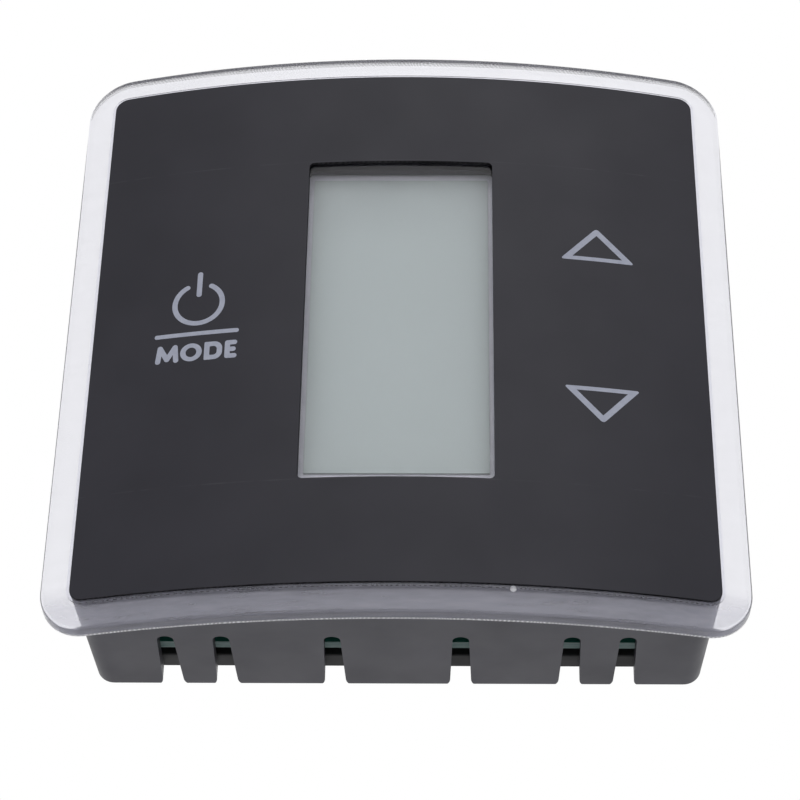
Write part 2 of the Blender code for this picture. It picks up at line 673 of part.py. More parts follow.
def make_board_link():
    """A pin row on the display board that stands in a socket on the main board."""
    y = DISPLAY_BOARD_HEIGHT / 2 - DISPLAY_POST_INSET
    width = LINK_PINS * LINK_PITCH
    body_top = DISPLAY_BOARD_BACK - SEAT_GAP
    body_bottom = body_top - LINK_BODY
    socket_bottom = MAIN_BOARD_FRONT + SEAT_GAP
    socket_top = body_bottom - FIT_GAP
    slot_bottom = socket_bottom + SOCKET_WALL
    pin_row = block(width, LINK_DEPTH, body_bottom, body_top, centre=(0.0, y))
    header = place("link_header", pin_row, chip_black, front_unit)
    pin_bottom = slot_bottom + FIT_GAP
    pin_top = body_bottom + LINK_BODY / 2
    pins = []
    for x in row_of(LINK_PINS, LINK_PITCH):
        pins.append(block(PIN_WIDTH, PIN_WIDTH, pin_bottom, pin_top, centre=(x, y)))
    join(header, together(pins), "pins")
    body = block(width, LINK_DEPTH, socket_bottom, socket_top, centre=(0.0, y))
    socket = place("link_socket", body, chip_black, front_unit)
    slot_width = width - 2 * SOCKET_WALL
    slot_depth = PIN_WIDTH + 2 * FIT_GAP
    slot = block(slot_width, slot_depth, slot_bottom, socket_top + THROUGH, centre=(0.0, y))
    cut(socket, slot, "slot")


def make_cable_socket():
    """A low socket on the back of the main board, over the cable opening and with its mouth downwards."""
    top = MAIN_BOARD_BACK - SEAT_GAP
    bottom = top - SOCKET_HEIGHT
    y = CABLE_OPENING_RAISE
    body = block(SOCKET_WIDTH, SOCKET_LENGTH, bottom, top, centre=(0.0, y))
    socket = place("cable_socket", body, socket_ivory, front_unit)
    mouth_width = SOCKET_WIDTH - 2 * SOCKET_WALL
    back_wall = y + SOCKET_LENGTH / 2 - SOCKET_WALL
    low_end = y - SOCKET_LENGTH / 2 - THROUGH
    middle = (0.0, (low_end + back_wall) / 2)
    mouth_bottom = bottom + SOCKET_WALL
    mouth_top = top - SOCKET_WALL
    mouth = block(mouth_width, back_wall - low_end, mouth_bottom, mouth_top, centre=middle)
    cut(socket, mouth, "mouth")
    contact_bottom = (bottom + top - PIN_WIDTH) / 2
    contact_top = contact_bottom + PIN_WIDTH
    length = SOCKET_LENGTH - 2 * SOCKET_WALL - FIT_GAP
    contact_y = back_wall - FIT_GAP - length / 2
    for index, x in enumerate(row_of(SOCKET_CONTACTS, SOCKET_PITCH)):
        contact = block(PIN_WIDTH, length, contact_bottom, contact_top, centre=(x, contact_y))
        place(f"socket_contact_{index + 1}", contact, contact_gold, front_unit)


# ---- screws ----


def screw_mesh(length):
    """A pan-head screw with a cross recess, its shank pointing up z from the underside of its head."""
    head_edge = SCREW_HEAD_HEIGHT - SCREW_HEAD_DOME
    profile = [
        (0.0, length),
        (SCREW_RADIUS - SCREW_TIP, length),
        (SCREW_RADIUS, length - SCREW_TIP),
        (SCREW_RADIUS, 0.0),
        (SCREW_HEAD_RADIUS, 0.0),
        (SCREW_HEAD_RADIUS, -head_edge),
        (SCREW_HEAD_TOP_RADIUS, -SCREW_HEAD_HEIGHT),
        (0.0, -SCREW_HEAD_HEIGHT),
    ]
    bm = bmesh.new()
    points = [bm.verts.new((radius, 0.0, height)) for radius, height in profile]
    for start, end in zip(points, points[1:]):
        bm.edges.new((start, end))
    turned = place("screw_shape", bm, None)
    spin = turned.modifiers.new("spin", "SCREW")
    spin.steps = SCREW_SIDES
    spin.render_steps = SCREW_SIDES
    spin.use_merge_vertices = True
    spin.merge_threshold = TINY / 10
    recess_length = 2 * SCREW_HEAD_TOP_RADIUS - 2 * RECESS_WIDTH
    recess_end = RECESS_DEPTH - SCREW_HEAD_HEIGHT
    for name, wide, deep in (
        ("recess_across", recess_length, RECESS_WIDTH),
        ("recess_upright", RECESS_WIDTH, recess_length),
    ):
        cut(turned, block(wide, deep, -SCREW_HEAD_HEIGHT - THROUGH, recess_end), name)
    mesh = finished_mesh(turned)
    for helper in [item for item in helpers.objects if item.name.startswith(turned.name)]:
        bpy.data.objects.remove(helper, do_unlink=True)
    mesh.materials.append(screw_steel)
    return mesh


def make_screws(name, length, places, seat):
    mesh = screw_mesh(length)
    for index, (x, y) in enumerate(places):
        screw = bpy.data.objects.new(f"{name}_{index + 1}", mesh)
        screw.parent = front_unit
        screw.location = (x, y, seat - SEAT_GAP)
        part.objects.link(screw)


# ---- wall plate ----


def latch(side, end):
    """An upright latch arm and its bump, on one side of the plate."""
    outer = PLATE_WIDTH / 2
    top = MAIN_BOARD_BACK - LATCH_TOP_GAP
    x = side * (outer - LATCH_THICKNESS / 2)
    y = end * LATCH_SPREAD
    arm = block(LATCH_THICKNESS, LATCH_WIDTH, PLATE_THICKNESS / 2, top, centre=(x, y))
    for vert in arm.verts:
        if abs(vert.co.x) > outer - TINY and vert.co.z > top - TINY:
            vert.co.x -= side * LATCH_LEAD_IN
    bump_top = top - LATCH_BUMP_HEIGHT
    bump_bottom = bump_top - LATCH_BUMP_HEIGHT
    bump_x = x + side * LATCH_BUMP / 2
    bump = block(LATCH_THICKNESS, LATCH_BUMP_WIDTH, bump_bottom, bump_top, centre=(bump_x, y))
    return arm, bump


def make_wall_plate():
    rib_top = PLATE_THICKNESS + PLATE_RIB_HEIGHT
    past_rib = rib_top + THROUGH
    slab = block(PLATE_WIDTH, PLATE_HEIGHT, 0.0, rib_top, PLATE_CORNER)
    plate = place("wall_plate", slab, plate_abs, wall_side)
    tray_width = PLATE_WIDTH - 2 * PLATE_RIB_WIDTH
    tray_height = PLATE_HEIGHT - 2 * PLATE_RIB_WIDTH
    cut(plate, block(tray_width, tray_height, PLATE_THICKNESS, past_rib, PLATE_CORNER), "tray")
    latches = [latch(side, end) for side in (-1, 1) for end in (-1, 1)]
    join(plate, together([arm for arm, bump in latches]), "latch_arms")
    join(plate, together([bump for arm, bump in latches]), "latch_bumps")
    opening = block(
        CABLE_OPENING_WIDTH,
        CABLE_OPENING_HEIGHT,
        -THROUGH,
        past_rib,
        CABLE_OPENING_CORNER,
        (0.0, CABLE_OPENING_RAISE),
    )
    cut(plate, opening, "cable_opening")
    reach = SCREW_SLOT_SPACING / 2
    nearly_round = SCREW_SLOT_WIDTH / 2 - TINY
    slots = []
    for end in (-1, 1):
        across = (SCREW_SLOT_LENGTH, SCREW_SLOT_WIDTH, (0.0, end * reach))
        upright = (SCREW_SLOT_WIDTH, SCREW_SLOT_LENGTH, (end * reach, 0.0))
        for width, height, centre in (across, upright):
            slots.append(block(width, height, -THROUGH, past_rib, nearly_round, centre))
    cut(plate, together(slots), "screw_slots")


def make_parent(name):
    """An empty on the wall that stands its pieces upright, with the face towards -Y."""
    empty = bpy.data.objects.new(name, None)
    empty.rotation_euler = (math.pi / 2, 0.0, 0.0)
    part.objects.link(empty)
    return empty


clear_scene()
part = new_collection("wall_thermostat")
helpers = new_collection("helpers")
wall_side = make_parent("wall_side")
front_unit = make_parent("front_unit")

clear_acrylic = make_material("clear_acrylic", (0.95, 0.95, 0.97), 0.05, transmission=1.0)
black_film = make_material("black_film", (0.02, 0.02, 0.022), 0.35)
dark_abs = make_material("dark_abs", (0.07, 0.07, 0.078), 0.5)
plate_abs = make_material("plate_abs", (0.02, 0.02, 0.02), 0.55)
polarizer_grey = make_material("polarizer_grey", (0.36, 0.40, 0.41), 0.4)
display_glass = make_material("display_glass", (0.80, 0.84, 0.84), 0.1, transmission=1.0)
reflector_white = make_material("reflector_white", (0.75, 0.77, 0.76), 0.4)
milky_acrylic = make_material("milky_acrylic", (0.85, 0.87, 0.88), 0.4)
holder_white = make_material("holder_white", (0.80, 0.80, 0.78), 0.5)
strip_rubber = make_material("strip_rubber", (0.45, 0.30, 0.32), 0.7)
led_white = make_material("led_white", (0.85, 0.83, 0.70), 0.4)
spring_steel = make_material("spring_steel", (0.75, 0.74, 0.72), 0.25, metallic=1.0)
screw_steel = make_material("screw_steel", (0.62, 0.62, 0.62), 0.3, metallic=1.0)
board_green = make_material("board_green", (0.02, 0.16, 0.11), 0.4)
chip_black = make_material("chip_black", (0.02, 0.02, 0.02), 0.5)
bright_metal = make_material("bright_metal", (0.72, 0.73, 0.74), 0.3, metallic=1.0)
bead_black = make_material("bead_black", (0.03, 0.03, 0.03), 0.4)
socket_ivory = make_material("socket_ivory", (0.80, 0.76, 0.66), 0.5)
contact_gold = make_material("contact_gold", (0.83, 0.66, 0.33), 0.25, metallic=1.0)

make_face_plate()
make_overlay()
make_housing()
make_display()
make_backlight()
make_display_holder()
make_contact_strips()
for key_name in KEYS:
    make_touch_spring(key_name)
make_display_board()
make_main_board()
make_board_parts()
make_capacitors()
make_thermistor()
make_board_link()
make_cable_socket()
main_places = corners(MAIN_POST_X, MAIN_POST_Y)
display_places = corners(DISPLAY_POST_X, DISPLAY_POST_Y)
make_screws("main_board_screw", MAIN_SCREW_LENGTH, main_places, MAIN_BOARD_BACK)
make_screws("display_board_screw", DISPLAY_SCREW_LENGTH, display_places, DISPLAY_BOARD_BACK)
make_wall_plate()
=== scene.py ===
"""The looks of a wall thermostat: a bowed clear face over a dark overlay, a tall display and touch keys.

Pieces are drawn lying on their backs, in metres: x across the face, y up the face and z out of the wall.
add_piece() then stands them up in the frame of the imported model, where +Z is up and the face looks along -Y.
"""

import math
import random

import bmesh
import bpy
from mathutils import Matrix, Vector


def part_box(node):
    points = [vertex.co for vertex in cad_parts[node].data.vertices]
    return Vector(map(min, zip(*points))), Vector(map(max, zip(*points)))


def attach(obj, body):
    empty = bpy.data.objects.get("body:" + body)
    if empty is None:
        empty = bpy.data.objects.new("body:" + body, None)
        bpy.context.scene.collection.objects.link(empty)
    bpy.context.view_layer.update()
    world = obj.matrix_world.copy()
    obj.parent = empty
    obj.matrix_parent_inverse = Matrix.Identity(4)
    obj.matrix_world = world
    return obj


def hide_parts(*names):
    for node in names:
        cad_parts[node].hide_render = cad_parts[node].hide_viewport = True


MM = 0.001

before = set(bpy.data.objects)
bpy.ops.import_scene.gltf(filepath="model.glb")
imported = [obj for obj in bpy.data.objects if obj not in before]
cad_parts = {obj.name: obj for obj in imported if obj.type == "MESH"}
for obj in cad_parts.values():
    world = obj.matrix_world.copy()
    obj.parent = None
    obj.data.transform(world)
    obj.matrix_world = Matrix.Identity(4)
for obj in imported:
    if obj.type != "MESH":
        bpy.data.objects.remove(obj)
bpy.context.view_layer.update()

FRONT_UNIT = "front_unit"
WALL_SIDE = "wall_side"

# Face
BOW_RADIUS = 164.0 * MM
BOW_STEP = 1.5 * MM
FACE_THICKNESS = 2.2 * MM
FACE_CORNER = 6.2 * MM
FACE_EDGE = 0.35 * MM
# width of the back band of the face plate's edge that carries a painted highlight
PAINTED_HIGHLIGHT_BAND = 0.62 * MM
OVERLAY_THICKNESS = 0.45 * MM
OVERLAY_CORNER = 1.8 * MM
OVERLAY_EDGE = 0.05 * MM
WINDOW_WIDTH = 25.2 * MM
WINDOW_HEIGHT = 51.5 * MM
WINDOW_CORNER = 0.7 * MM
MARGIN_WIDTH = 0.42 * MM
MARGIN_THICKNESS = 0.2 * MM
GLUE_BEAD = (14.75 * MM, -41.45 * MM)
GLUE_BEAD_RADIUS = 0.42 * MM
RUB_PLACES = (25.9 * MM, -25.9 * MM)

# Housing
WALL = 2.0 * MM
FRONT_WALL = 2.0 * MM
HOUSING_CORNER = 2.4 * MM
HOUSING_EDGE = 0.15 * MM
INNER_CORNER = 0.9 * MM
DRAFT = math.tan(math.radians(1.95))
POCKET_WALL = 1.2 * MM
POCKET_GAP = 0.5 * MM
NOTCH_OFFSETS = (8.3 * MM, 22.65 * MM, 29.85 * MM)
NOTCH_HEIGHT = 13.85 * MM
NOTCH_TOP_WIDTH = 2.15 * MM
NOTCH_MOUTH_WIDTH = 2.75 * MM
NOTCH_FLARE = 0.6 * MM
NOTCH_FLARE_HEIGHT = 1.6 * MM
POST_RADIUS = 2.6 * MM
SCREW_HOLE_RADIUS = 1.2 * MM
KEY_HOLE_RADIUS = 4.5 * MM
SEAT_GAP = 0.1 * MM

# Wall plate
PLATE_FLOOR = 2.0 * MM
PLATE_RIB_WIDTH = 1.4 * MM
PLATE_RIB_TOP = 3.2 * MM
PLATE_CORNER = 1.2 * MM
PLATE_EDGE = 0.25 * MM
PLATE_MERGE = 0.5 * MM
CABLE_OPENING = (36.0 * MM, 18.0 * MM)
CABLE_OPENING_Y = 14.0 * MM
CABLE_OPENING_CORNER = 3.0 * MM
COLLAR_WIDTH = 1.6 * MM
COLLAR_TOP = 2.9 * MM
SLOT_REACH = 30.15 * MM
SLOT_WIDTH = 4.4 * MM
SLOT_LENGTH = 8.5 * MM
RIB_X = 14.0 * MM
PIN_MARK_RADIUS = 1.6 * MM
PIN_MARK_DEPTH = 0.12 * MM
HOLLOW_SIZE = (13.0 * MM, 20.0 * MM)
HOLLOW_X = 9.0 * MM
HOLLOW_Y = -17.5 * MM
HOLLOW_DEPTH = 0.35 * MM
HOLLOW_CORNER = 1.5 * MM
ARROW_MARK_PLACE = (26.0 * MM, 22.0 * MM)
BOSS_WIDTH = 2.6 * MM
BOSS_TOP = 2.6 * MM
SINK_WIDTH = 1.7 * MM
SINK_BOTTOM = 1.35 * MM
SINK_SLACK = 0.05 * MM
LATCH_SPREAD = 20.0 * MM
LATCH_WIDTH = 8.0 * MM
LATCH_THICKNESS = 1.1 * MM
LATCH_CATCH_WIDTH = 5.6 * MM

# Printed symbols
PRINT_THICKNESS = 0.03 * MM
PRINT_SINK = 0.01 * MM
STROKE = 0.72 * MM
BAR_STROKE = 0.65 * MM
POWER_PLACE = (-26.87 * MM, 2.92 * MM)
POWER_RADIUS = 3.22 * MM
POWER_OPENING = math.radians(30.3)
ARROW_X = 26.75 * MM

# Boards: copper, printing and small parts are on the main board's wall side
BOARD_CORNER = 1.5 * MM
BOARD_HOLE_RADIUS = 1.3 * MM
COPPER = 0.04 * MM
LACQUER_RISE = 0.035 * MM
INK_HEIGHT = 0.025 * MM
SOLDER_RADIUS = 0.85 * MM
SOLDER_HEIGHT = 0.75 * MM
PAD_RADIUS = 0.98 * MM
PROBE_RADIUS = 0.6 * MM
PROBE_PITCH = 2.2 * MM
HOLE_RING = (1.4 * MM, 2.4 * MM)
LINK_PITCH = 2.54 * MM
LINK_ROW_Y = 26.93 * MM
CONTACT_PITCH = 2.0 * MM
TRACK_WIDTH = 0.3 * MM
CONTACT_TRACK_WIDTH = 0.35 * MM
PART_PITCH = 2.7 * MM
PART_RISE = 0.03 * MM
LARGE_PART = (2.0 * MM, 1.2 * MM, 0.55 * MM)
SMALL_PART = (1.6 * MM, 0.8 * MM, 0.45 * MM)
# left, top, how many, and whether the row runs across the board with its parts turned
PART_ROWS = (
    (-27.0 * MM, 12.0 * MM, 5, False),
    (-27.0 * MM, -8.0 * MM, 4, True),
    (16.0 * MM, -14.0 * MM, 4, False),
    (-6.0 * MM, -22.0 * MM, 5, True),
    (25.0 * MM, 18.0 * MM, 4, False),
)
CHIP_PLACE = (4.5 * MM, -8.5 * MM)
CHIP_SIZE = (5.0 * MM, 4.0 * MM)
CHIP_HEIGHT = 1.5 * MM
CHIP_LEG_PITCH = 1.27 * MM

# Screws
SCREW_CORE = 0.72 * MM
SCREW_THREAD = 0.9 * MM
SCREW_PITCH = 0.62 * MM
SCREW_HEAD_HEIGHT = 1.3 * MM
SCREW_THREAD_END = 1.3 * MM
SCREW_POINT = 0.55 * MM
RECESS_SIZE = (2.1 * MM, 0.4 * MM)
RECESS_DEPTH = 0.62 * MM
RECESS_TAPER = 0.62

# Cable socket
SOCKET_WALL = 0.6 * MM
SOCKET_BACK_WALL = 1.4 * MM
SOCKET_EDGE = 0.15 * MM
GROOVE_X = 3.2 * MM
GROOVE_WIDTH = 0.9 * MM
GROOVE_LENGTH = 3.4 * MM

# Camera, light and floor
CAMERA_PLACE = (0.0075, -0.30126, -0.19771)
CAMERA_ANGLE = math.radians(17.904)
CAMERA_RISE = math.radians(33.97)
CAMERA_SWING = math.radians(1.492)
CAMERA_ROLL = math.radians(0.891)
FRONT_LIGHT = 0.38
BACK_LIGHT = 1.1
THROUGH_LIGHT = 1.80
SHEEN_DIRECTION = (0.08, -0.78, 0.70)
SHEEN_EDGE = 0.88
SHEEN_LIGHT = 0.72
FLOOR_HALF = 30.0
FLOOR_DROP = 0.35

# Finishes
WINDOW_HAZE = 0.01
# painted glow: haze on the face plate's rim, raised most along its lower side
RIM_GLOW_HAZE = 0.09
LOWER_RIM_GLOW_HAZE = 3.2
ACRYLIC_IOR = 1.49
DISPLAY_TONE = (0.62, 0.705, 0.665)
# painted shade at the top of the display film
DISPLAY_SHADED_TOP_TONE = (0.50, 0.56, 0.535)
DISPLAY_SIDE_TONE = (0.60, 0.685, 0.64)

THROUGH = 2.0 * MM
TINY = 0.001 * MM
CORNER_STEPS = 10
EDGE_STEPS = 3
ROUND_SIDES = 48


# ---- places read from the frame ----


def lying_box(node):
    """(left, right, low, high, bottom, top) of a node, as it lies on its back."""
    low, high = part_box(node)
    return low.x, high.x, low.z, high.z, -high.y, -low.y


FACE_FRONT = lying_box("face_plate")[5]
FACE_WIDTH = 2 * lying_box("face_plate")[1]
FACE_HEIGHT = 2 * lying_box("face_plate")[3]
OVERLAY_WIDTH = 2 * lying_box("overlay")[1]
OVERLAY_TOP = lying_box("overlay")[5]
HOUSING_FRONT = lying_box("housing")[5]
HOUSING_HALF = lying_box("housing")[3]


def sag(x):
    """How far the bowed face has dropped towards the wall at a distance x from its middle."""
    return BOW_RADIUS - math.sqrt(BOW_RADIUS**2 - x**2)


def middle_of(node):
    """(x, y) of the middle of a node's box."""
    left, right, low, high, _, _ = lying_box(node)
    return (left + right) / 2, (low + high) / 2


def corners(x, y):
    """The four places at x and y either side of the middle."""
    return [(side * x, end * y) for side in (-1, 1) for end in (-1, 1)]


# ---- camera, light and floor ----


def make_camera():
    """The eye is in front of the lower part of the face and below it, so the face leans away at its top."""
    camera = bpy.data.objects.new("camera", bpy.data.cameras.new("camera"))
    bpy.context.scene.collection.objects.link(camera)
    bpy.context.scene.camera = camera
    camera.data.angle = CAMERA_ANGLE
    camera.data.clip_start = 0.01
    place = Matrix.Translation(CAMERA_PLACE)
    for angle, axis in ((CAMERA_SWING, "Z"), (math.pi / 2 + CAMERA_RISE, "X"), (CAMERA_ROLL, "Z")):
        place = place @ Matrix.Rotation(angle, 4, axis)
    camera.matrix_world = place


def make_world():
    """White to the eye and through clear plastic; elsewhere a softer light from the front than behind."""
    world = bpy.data.worlds.new("studio")
    bpy.context.scene.world = world
    world.use_nodes = True
    tree = world.node_tree
    tree.nodes.clear()
    way = tree.nodes.new("ShaderNodeTexCoord").outputs["Generated"]
    split = tree.nodes.new("ShaderNodeSeparateXYZ")
    tree.links.new(way, split.inputs["Vector"])
    depth = ranged(tree, split.outputs["Y"], FRONT_LIGHT, BACK_LIGHT, -1.0, 1.0)
    facing = tree.nodes.new("ShaderNodeVectorMath")
    facing.operation = "DOT_PRODUCT"
    facing.inputs[1].default_value = Vector(SHEEN_DIRECTION).normalized()
    tree.links.new(way, facing.inputs[0])
    sheen = ranged(tree, facing.outputs["Value"], 0.0, SHEEN_LIGHT, SHEEN_EDGE, 1.0, "SMOOTHSTEP")

    path = tree.nodes.new("ShaderNodeLightPath").outputs
    seen = arithmetic(tree, "MAXIMUM", path["Is Camera Ray"], path["Is Transmission Ray"])
    straight = arithmetic(tree, "LESS_THAN", path["Glossy Depth"], 0.5)
    scattered = arithmetic(tree, "MINIMUM", path["Diffuse Depth"], 1.0)
    boost = arithmetic(tree, "MULTIPLY", scattered, THROUGH_LIGHT - 1.0)

    mix = tree.nodes.new("ShaderNodeMixShader")
    tree.links.new(arithmetic(tree, "MULTIPLY", seen, straight), mix.inputs["Fac"])
    room = (0.8, 0.8, 0.8, 1.0), arithmetic(tree, "ADD", depth, sheen)
    white = (1.0, 1.0, 1.0, 1.0), arithmetic(tree, "ADD", boost, 1.0)
    for index, (colour, strength) in enumerate((room, white), 1):
        light = tree.nodes.new("ShaderNodeBackground")
        light.inputs["Color"].default_value = colour
        tree.links.new(strength, light.inputs["Strength"])
        tree.links.new(light.outputs["Background"], mix.inputs[index])
    out = tree.nodes.new("ShaderNodeOutputWorld")
    tree.links.new(mix.outputs["Shader"], out.inputs["Surface"])


def make_floor():
    """A pale floor well under the part, which hangs on a wall in use."""
    bm = bmesh.new()
    bmesh.ops.create_grid(bm, x_segments=1, y_segments=1, size=FLOOR_HALF)
    bmesh.ops.translate(bm, vec=(0.0, 0.0, -FLOOR_DROP), verts=bm.verts)
    mesh = bpy.data.meshes.new("floor")
    bm.to_mesh(mesh)
    bm.free()
    floor = bpy.data.objects.new("floor", mesh)
    bpy.context.scene.collection.objects.link(floor)
    mesh.materials.append(make_material("floor_paint", (0.96, 0.96, 0.97), 0.7)[0])


# ---- materials ----


def make_material(name, colour, roughness, **sockets):
    """(material, its node tree, its Principled shader); coat_weight=0.3 sets the socket Coat Weight."""
    material = bpy.data.materials.new(name)
    material.use_nodes = True
    tree = material.node_tree
    shader = tree.nodes["Principled BSDF"]
    shader.inputs["Base Color"].default_value = (*colour, 1.0)
    shader.inputs["Roughness"].default_value = roughness
    for word, value in sockets.items():
        shader.inputs[word.replace("_", " ").title().replace("Ior", "IOR")].default_value = value
    return material, tree, shader


def noise(tree, size, detail=3.0, stretch=(1.0, 1.0, 1.0)):
    """A noise pattern whose blotches are about size across, on the piece's own coordinates."""
    coordinates = tree.nodes.new("ShaderNodeTexCoord")
    mapping = tree.nodes.new("ShaderNodeMapping")
    mapping.inputs["Scale"].default_value = stretch
    pattern = tree.nodes.new("ShaderNodeTexNoise")
    pattern.inputs["Scale"].default_value = 1.0 / size
    pattern.inputs["Detail"].default_value = detail
    tree.links.new(coordinates.outputs["Object"], mapping.inputs["Vector"])
    tree.links.new(mapping.outputs["Vector"], pattern.inputs["Vector"])
    return pattern.outputs["Fac"]


def ranged(tree, value, low, high, from_low=0.3, from_high=0.7, blend="LINEAR"):
    """A value stretched to run from low to high."""
    node = tree.nodes.new("ShaderNodeMapRange")
    node.interpolation_type = blend
    limits = {"From Min": from_low, "From Max": from_high, "To Min": low, "To Max": high}
    for socket, limit in limits.items():
        node.inputs[socket].default_value = limit
    tree.links.new(value, node.inputs["Value"])
    return node.outputs["Result"]


def blended(tree, factor, first, second):
    """A colour between two, each a colour or a socket."""
    node = tree.nodes.new("ShaderNodeMix")
    node.data_type = "RGBA"
    tree.links.new(factor, node.inputs["Factor"])
    for socket, colour in (("A", first), ("B", second)):
        entry = [item for item in node.inputs if item.name == socket and item.type == "RGBA"][0]
        if isinstance(colour, tuple):
            entry.default_value = (*colour, 1.0)
        else:
            tree.links.new(colour, entry)
    return [item for item in node.outputs if item.type == "RGBA"][0]


def arithmetic(tree, operation, *values):
    """A sum, a comparison or another operation on numbers and sockets."""
    node = tree.nodes.new("ShaderNodeMath")
    node.operation = operation
    for entry, value in zip(node.inputs, values):
        if isinstance(value, float):
            entry.default_value = value
        else:
            tree.links.new(value, entry)
    return node.outputs["Value"]


def shade(tree, shader, colours, blotch, roughness, rough_blotch, grain, depth, stretch=(1.0, 1.0, 1.0)):
    """Colour that drifts between two, roughness that varies, and a fine surface grain."""
    tone = ranged(tree, noise(tree, blotch, 4.0, stretch), 0.0, 1.0)
    tree.links.new(blended(tree, tone, *colours), shader.inputs["Base Color"])
    wear = ranged(tree, noise(tree, rough_blotch, 5.0, stretch), *roughness)
    tree.links.new(wear, shader.inputs["Roughness"])
    bump(tree, shader, noise(tree, grain, 2.0, stretch), depth)


def shaded(name, colour, roughness, *pattern, **sockets):
    """A material with the pattern that shade() takes."""
    material, tree, shader = make_material(name, colour, roughness, **sockets)
    shade(tree, shader, *pattern)
    return material


def bump(tree, shader, height, depth):
    """Lets a pattern stand out of a surface by a depth."""
    node = tree.nodes.new("ShaderNodeBump")
    node.inputs["Strength"].default_value = 1.0
    node.inputs["Distance"].default_value = depth
    tree.links.new(height, node.inputs["Height"])
    tree.links.new(node.outputs["Normal"], shader.inputs["Normal"])


def place_axis(tree, axis):
    """The X, Y or Z of a point on the piece."""
    coordinates = tree.nodes.new("ShaderNodeTexCoord")
    split = tree.nodes.new("ShaderNodeSeparateXYZ")
    tree.links.new(coordinates.outputs["Object"], split.inputs["Vector"])
    return split.outputs[axis]


def clear_acrylic():
    """Clear plastic with a lilac cast; haze across its rim is a painted glow, as if light ran through the rim,
    most of all along the lower side.
    """
    material, tree, shader = make_material(
        "clear_acrylic", (0.962, 0.962, 1.0), 0.03, transmission_weight=1.0, ior=ACRYLIC_IOR
    )
    across = arithmetic(tree, "ABSOLUTE", place_axis(tree, "X"))
    upwards = place_axis(tree, "Z")
    out = arithmetic(tree, "MAXIMUM", across, arithmetic(tree, "ABSOLUTE", upwards))
    edge = OVERLAY_WIDTH / 2
    # painted glow: haze that brightens the rim outside the overlay, stronger and streaked along the lower side
    rim = ranged(tree, out, WINDOW_HAZE, RIM_GLOW_HAZE, edge - MM, edge)
    below = ranged(tree, upwards, LOWER_RIM_GLOW_HAZE, 1.0, -edge - 0.3 * MM, -edge + 2.5 * MM)
    glow_streaks = ranged(tree, noise(tree, 1.2 * MM, 3.0, (0.15, 1.0, 1.0)), 0.85, 1.15)
    amount = arithmetic(tree, "MULTIPLY", arithmetic(tree, "MULTIPLY", rim, below), glow_streaks)
    add_haze(tree, shader, amount, (0.86, 0.86, 0.98))
    bump(tree, shader, noise(tree, 6.0 * MM, 2.0), 0.004 * MM)
    return material


def add_haze(tree, shader, amount, colour):
    """Mixes light scattering into a clear plastic."""
    both = tree.nodes.new("ShaderNodeMixShader")
    for index, kind in enumerate(("ShaderNodeBsdfTranslucent", "ShaderNodeBsdfDiffuse"), 1):
        scatter = tree.nodes.new(kind)
        scatter.inputs["Color"].default_value = (*colour, 1.0)
        tree.links.new(scatter.outputs["BSDF"], both.inputs[index])
    mix = tree.nodes.new("ShaderNodeMixShader")
    tree.links.new(amount, mix.inputs["Fac"])
    tree.links.new(shader.outputs["BSDF"], mix.inputs[1])
    tree.links.new(both.outputs["Shader"], mix.inputs[2])
    out = [node for node in tree.nodes if node.type == "OUTPUT_MATERIAL"][0]
    tree.links.new(mix.outputs["Shader"], out.inputs["Surface"])


def dashes(tree, pitch):
    """A broken 0 to 1 line pattern that runs along an edge, whichever way the edge goes."""
    along = arithmetic(tree, "ADD", place_axis(tree, "X"), place_axis(tree, "Z"))
    wobble = arithmetic(tree, "MULTIPLY", noise(tree, 5.0 * MM, 2.0), 3.0 * MM)
    turns = arithmetic(tree, "DIVIDE", arithmetic(tree, "ADD", along, wobble), pitch / (2 * math.pi))
    return ranged(tree, arithmetic(tree, "SINE", turns), 0.0, 1.0, -0.4, 0.6)


def edge_acrylic(name, colour, haze, haze_colour, pitch=0.5 * MM):
    """The edge of a clear sheet, where tool marks break its haze into dashes; on the face plate's back edge
    that haze is a painted highlight.
    """
    material, tree, shader = make_material(name, colour, 0.12, transmission_weight=1.0, ior=ACRYLIC_IOR)
    patches = ranged(tree, noise(tree, 8.0 * MM, 2.0), 0.2, 1.0)
    broken = arithmetic(tree, "MULTIPLY", dashes(tree, pitch), patches)
    add_haze(tree, shader, ranged(tree, broken, *haze, 0.0, 1.0), haze_colour)
    bump(tree, shader, noise(tree, 0.3 * MM, 2.0), 0.01 * MM)
    return material


def overlay_film():
    """Satin charcoal film with hairline rubs across it at the window's ends."""
    material, tree, shader = make_material("overlay_film", (0.03, 0.03, 0.034), 0.32, specular_ior_level=0.5)
    tones = ((0.027, 0.0265, 0.038), (0.036, 0.035, 0.0485))
    shade(tree, shader, tones, 14.0 * MM, (0.30, 0.40), 9.0 * MM, 0.12 * MM, 0.0015 * MM)
    base = shader.inputs["Base Color"].links[0].from_socket
    lines = []
    for place in RUB_PLACES:
        offset = arithmetic(tree, "SUBTRACT", place_axis(tree, "Z"), place)
        lines.append(ranged(tree, arithmetic(tree, "ABSOLUTE", offset), 1.0, 0.0, 0.0, 0.14 * MM))
    worn = ranged(tree, noise(tree, 3.0 * MM, 5.0, (1.0, 1.0, 0.2)), 0.0, 0.55, 0.42, 0.68)
    rub = arithmetic(tree, "MULTIPLY", arithmetic(tree, "MAXIMUM", *lines), worn)
    tree.links.new(blended(tree, rub, base, (0.085, 0.085, 0.098)), shader.inputs["Base Color"])
    return material


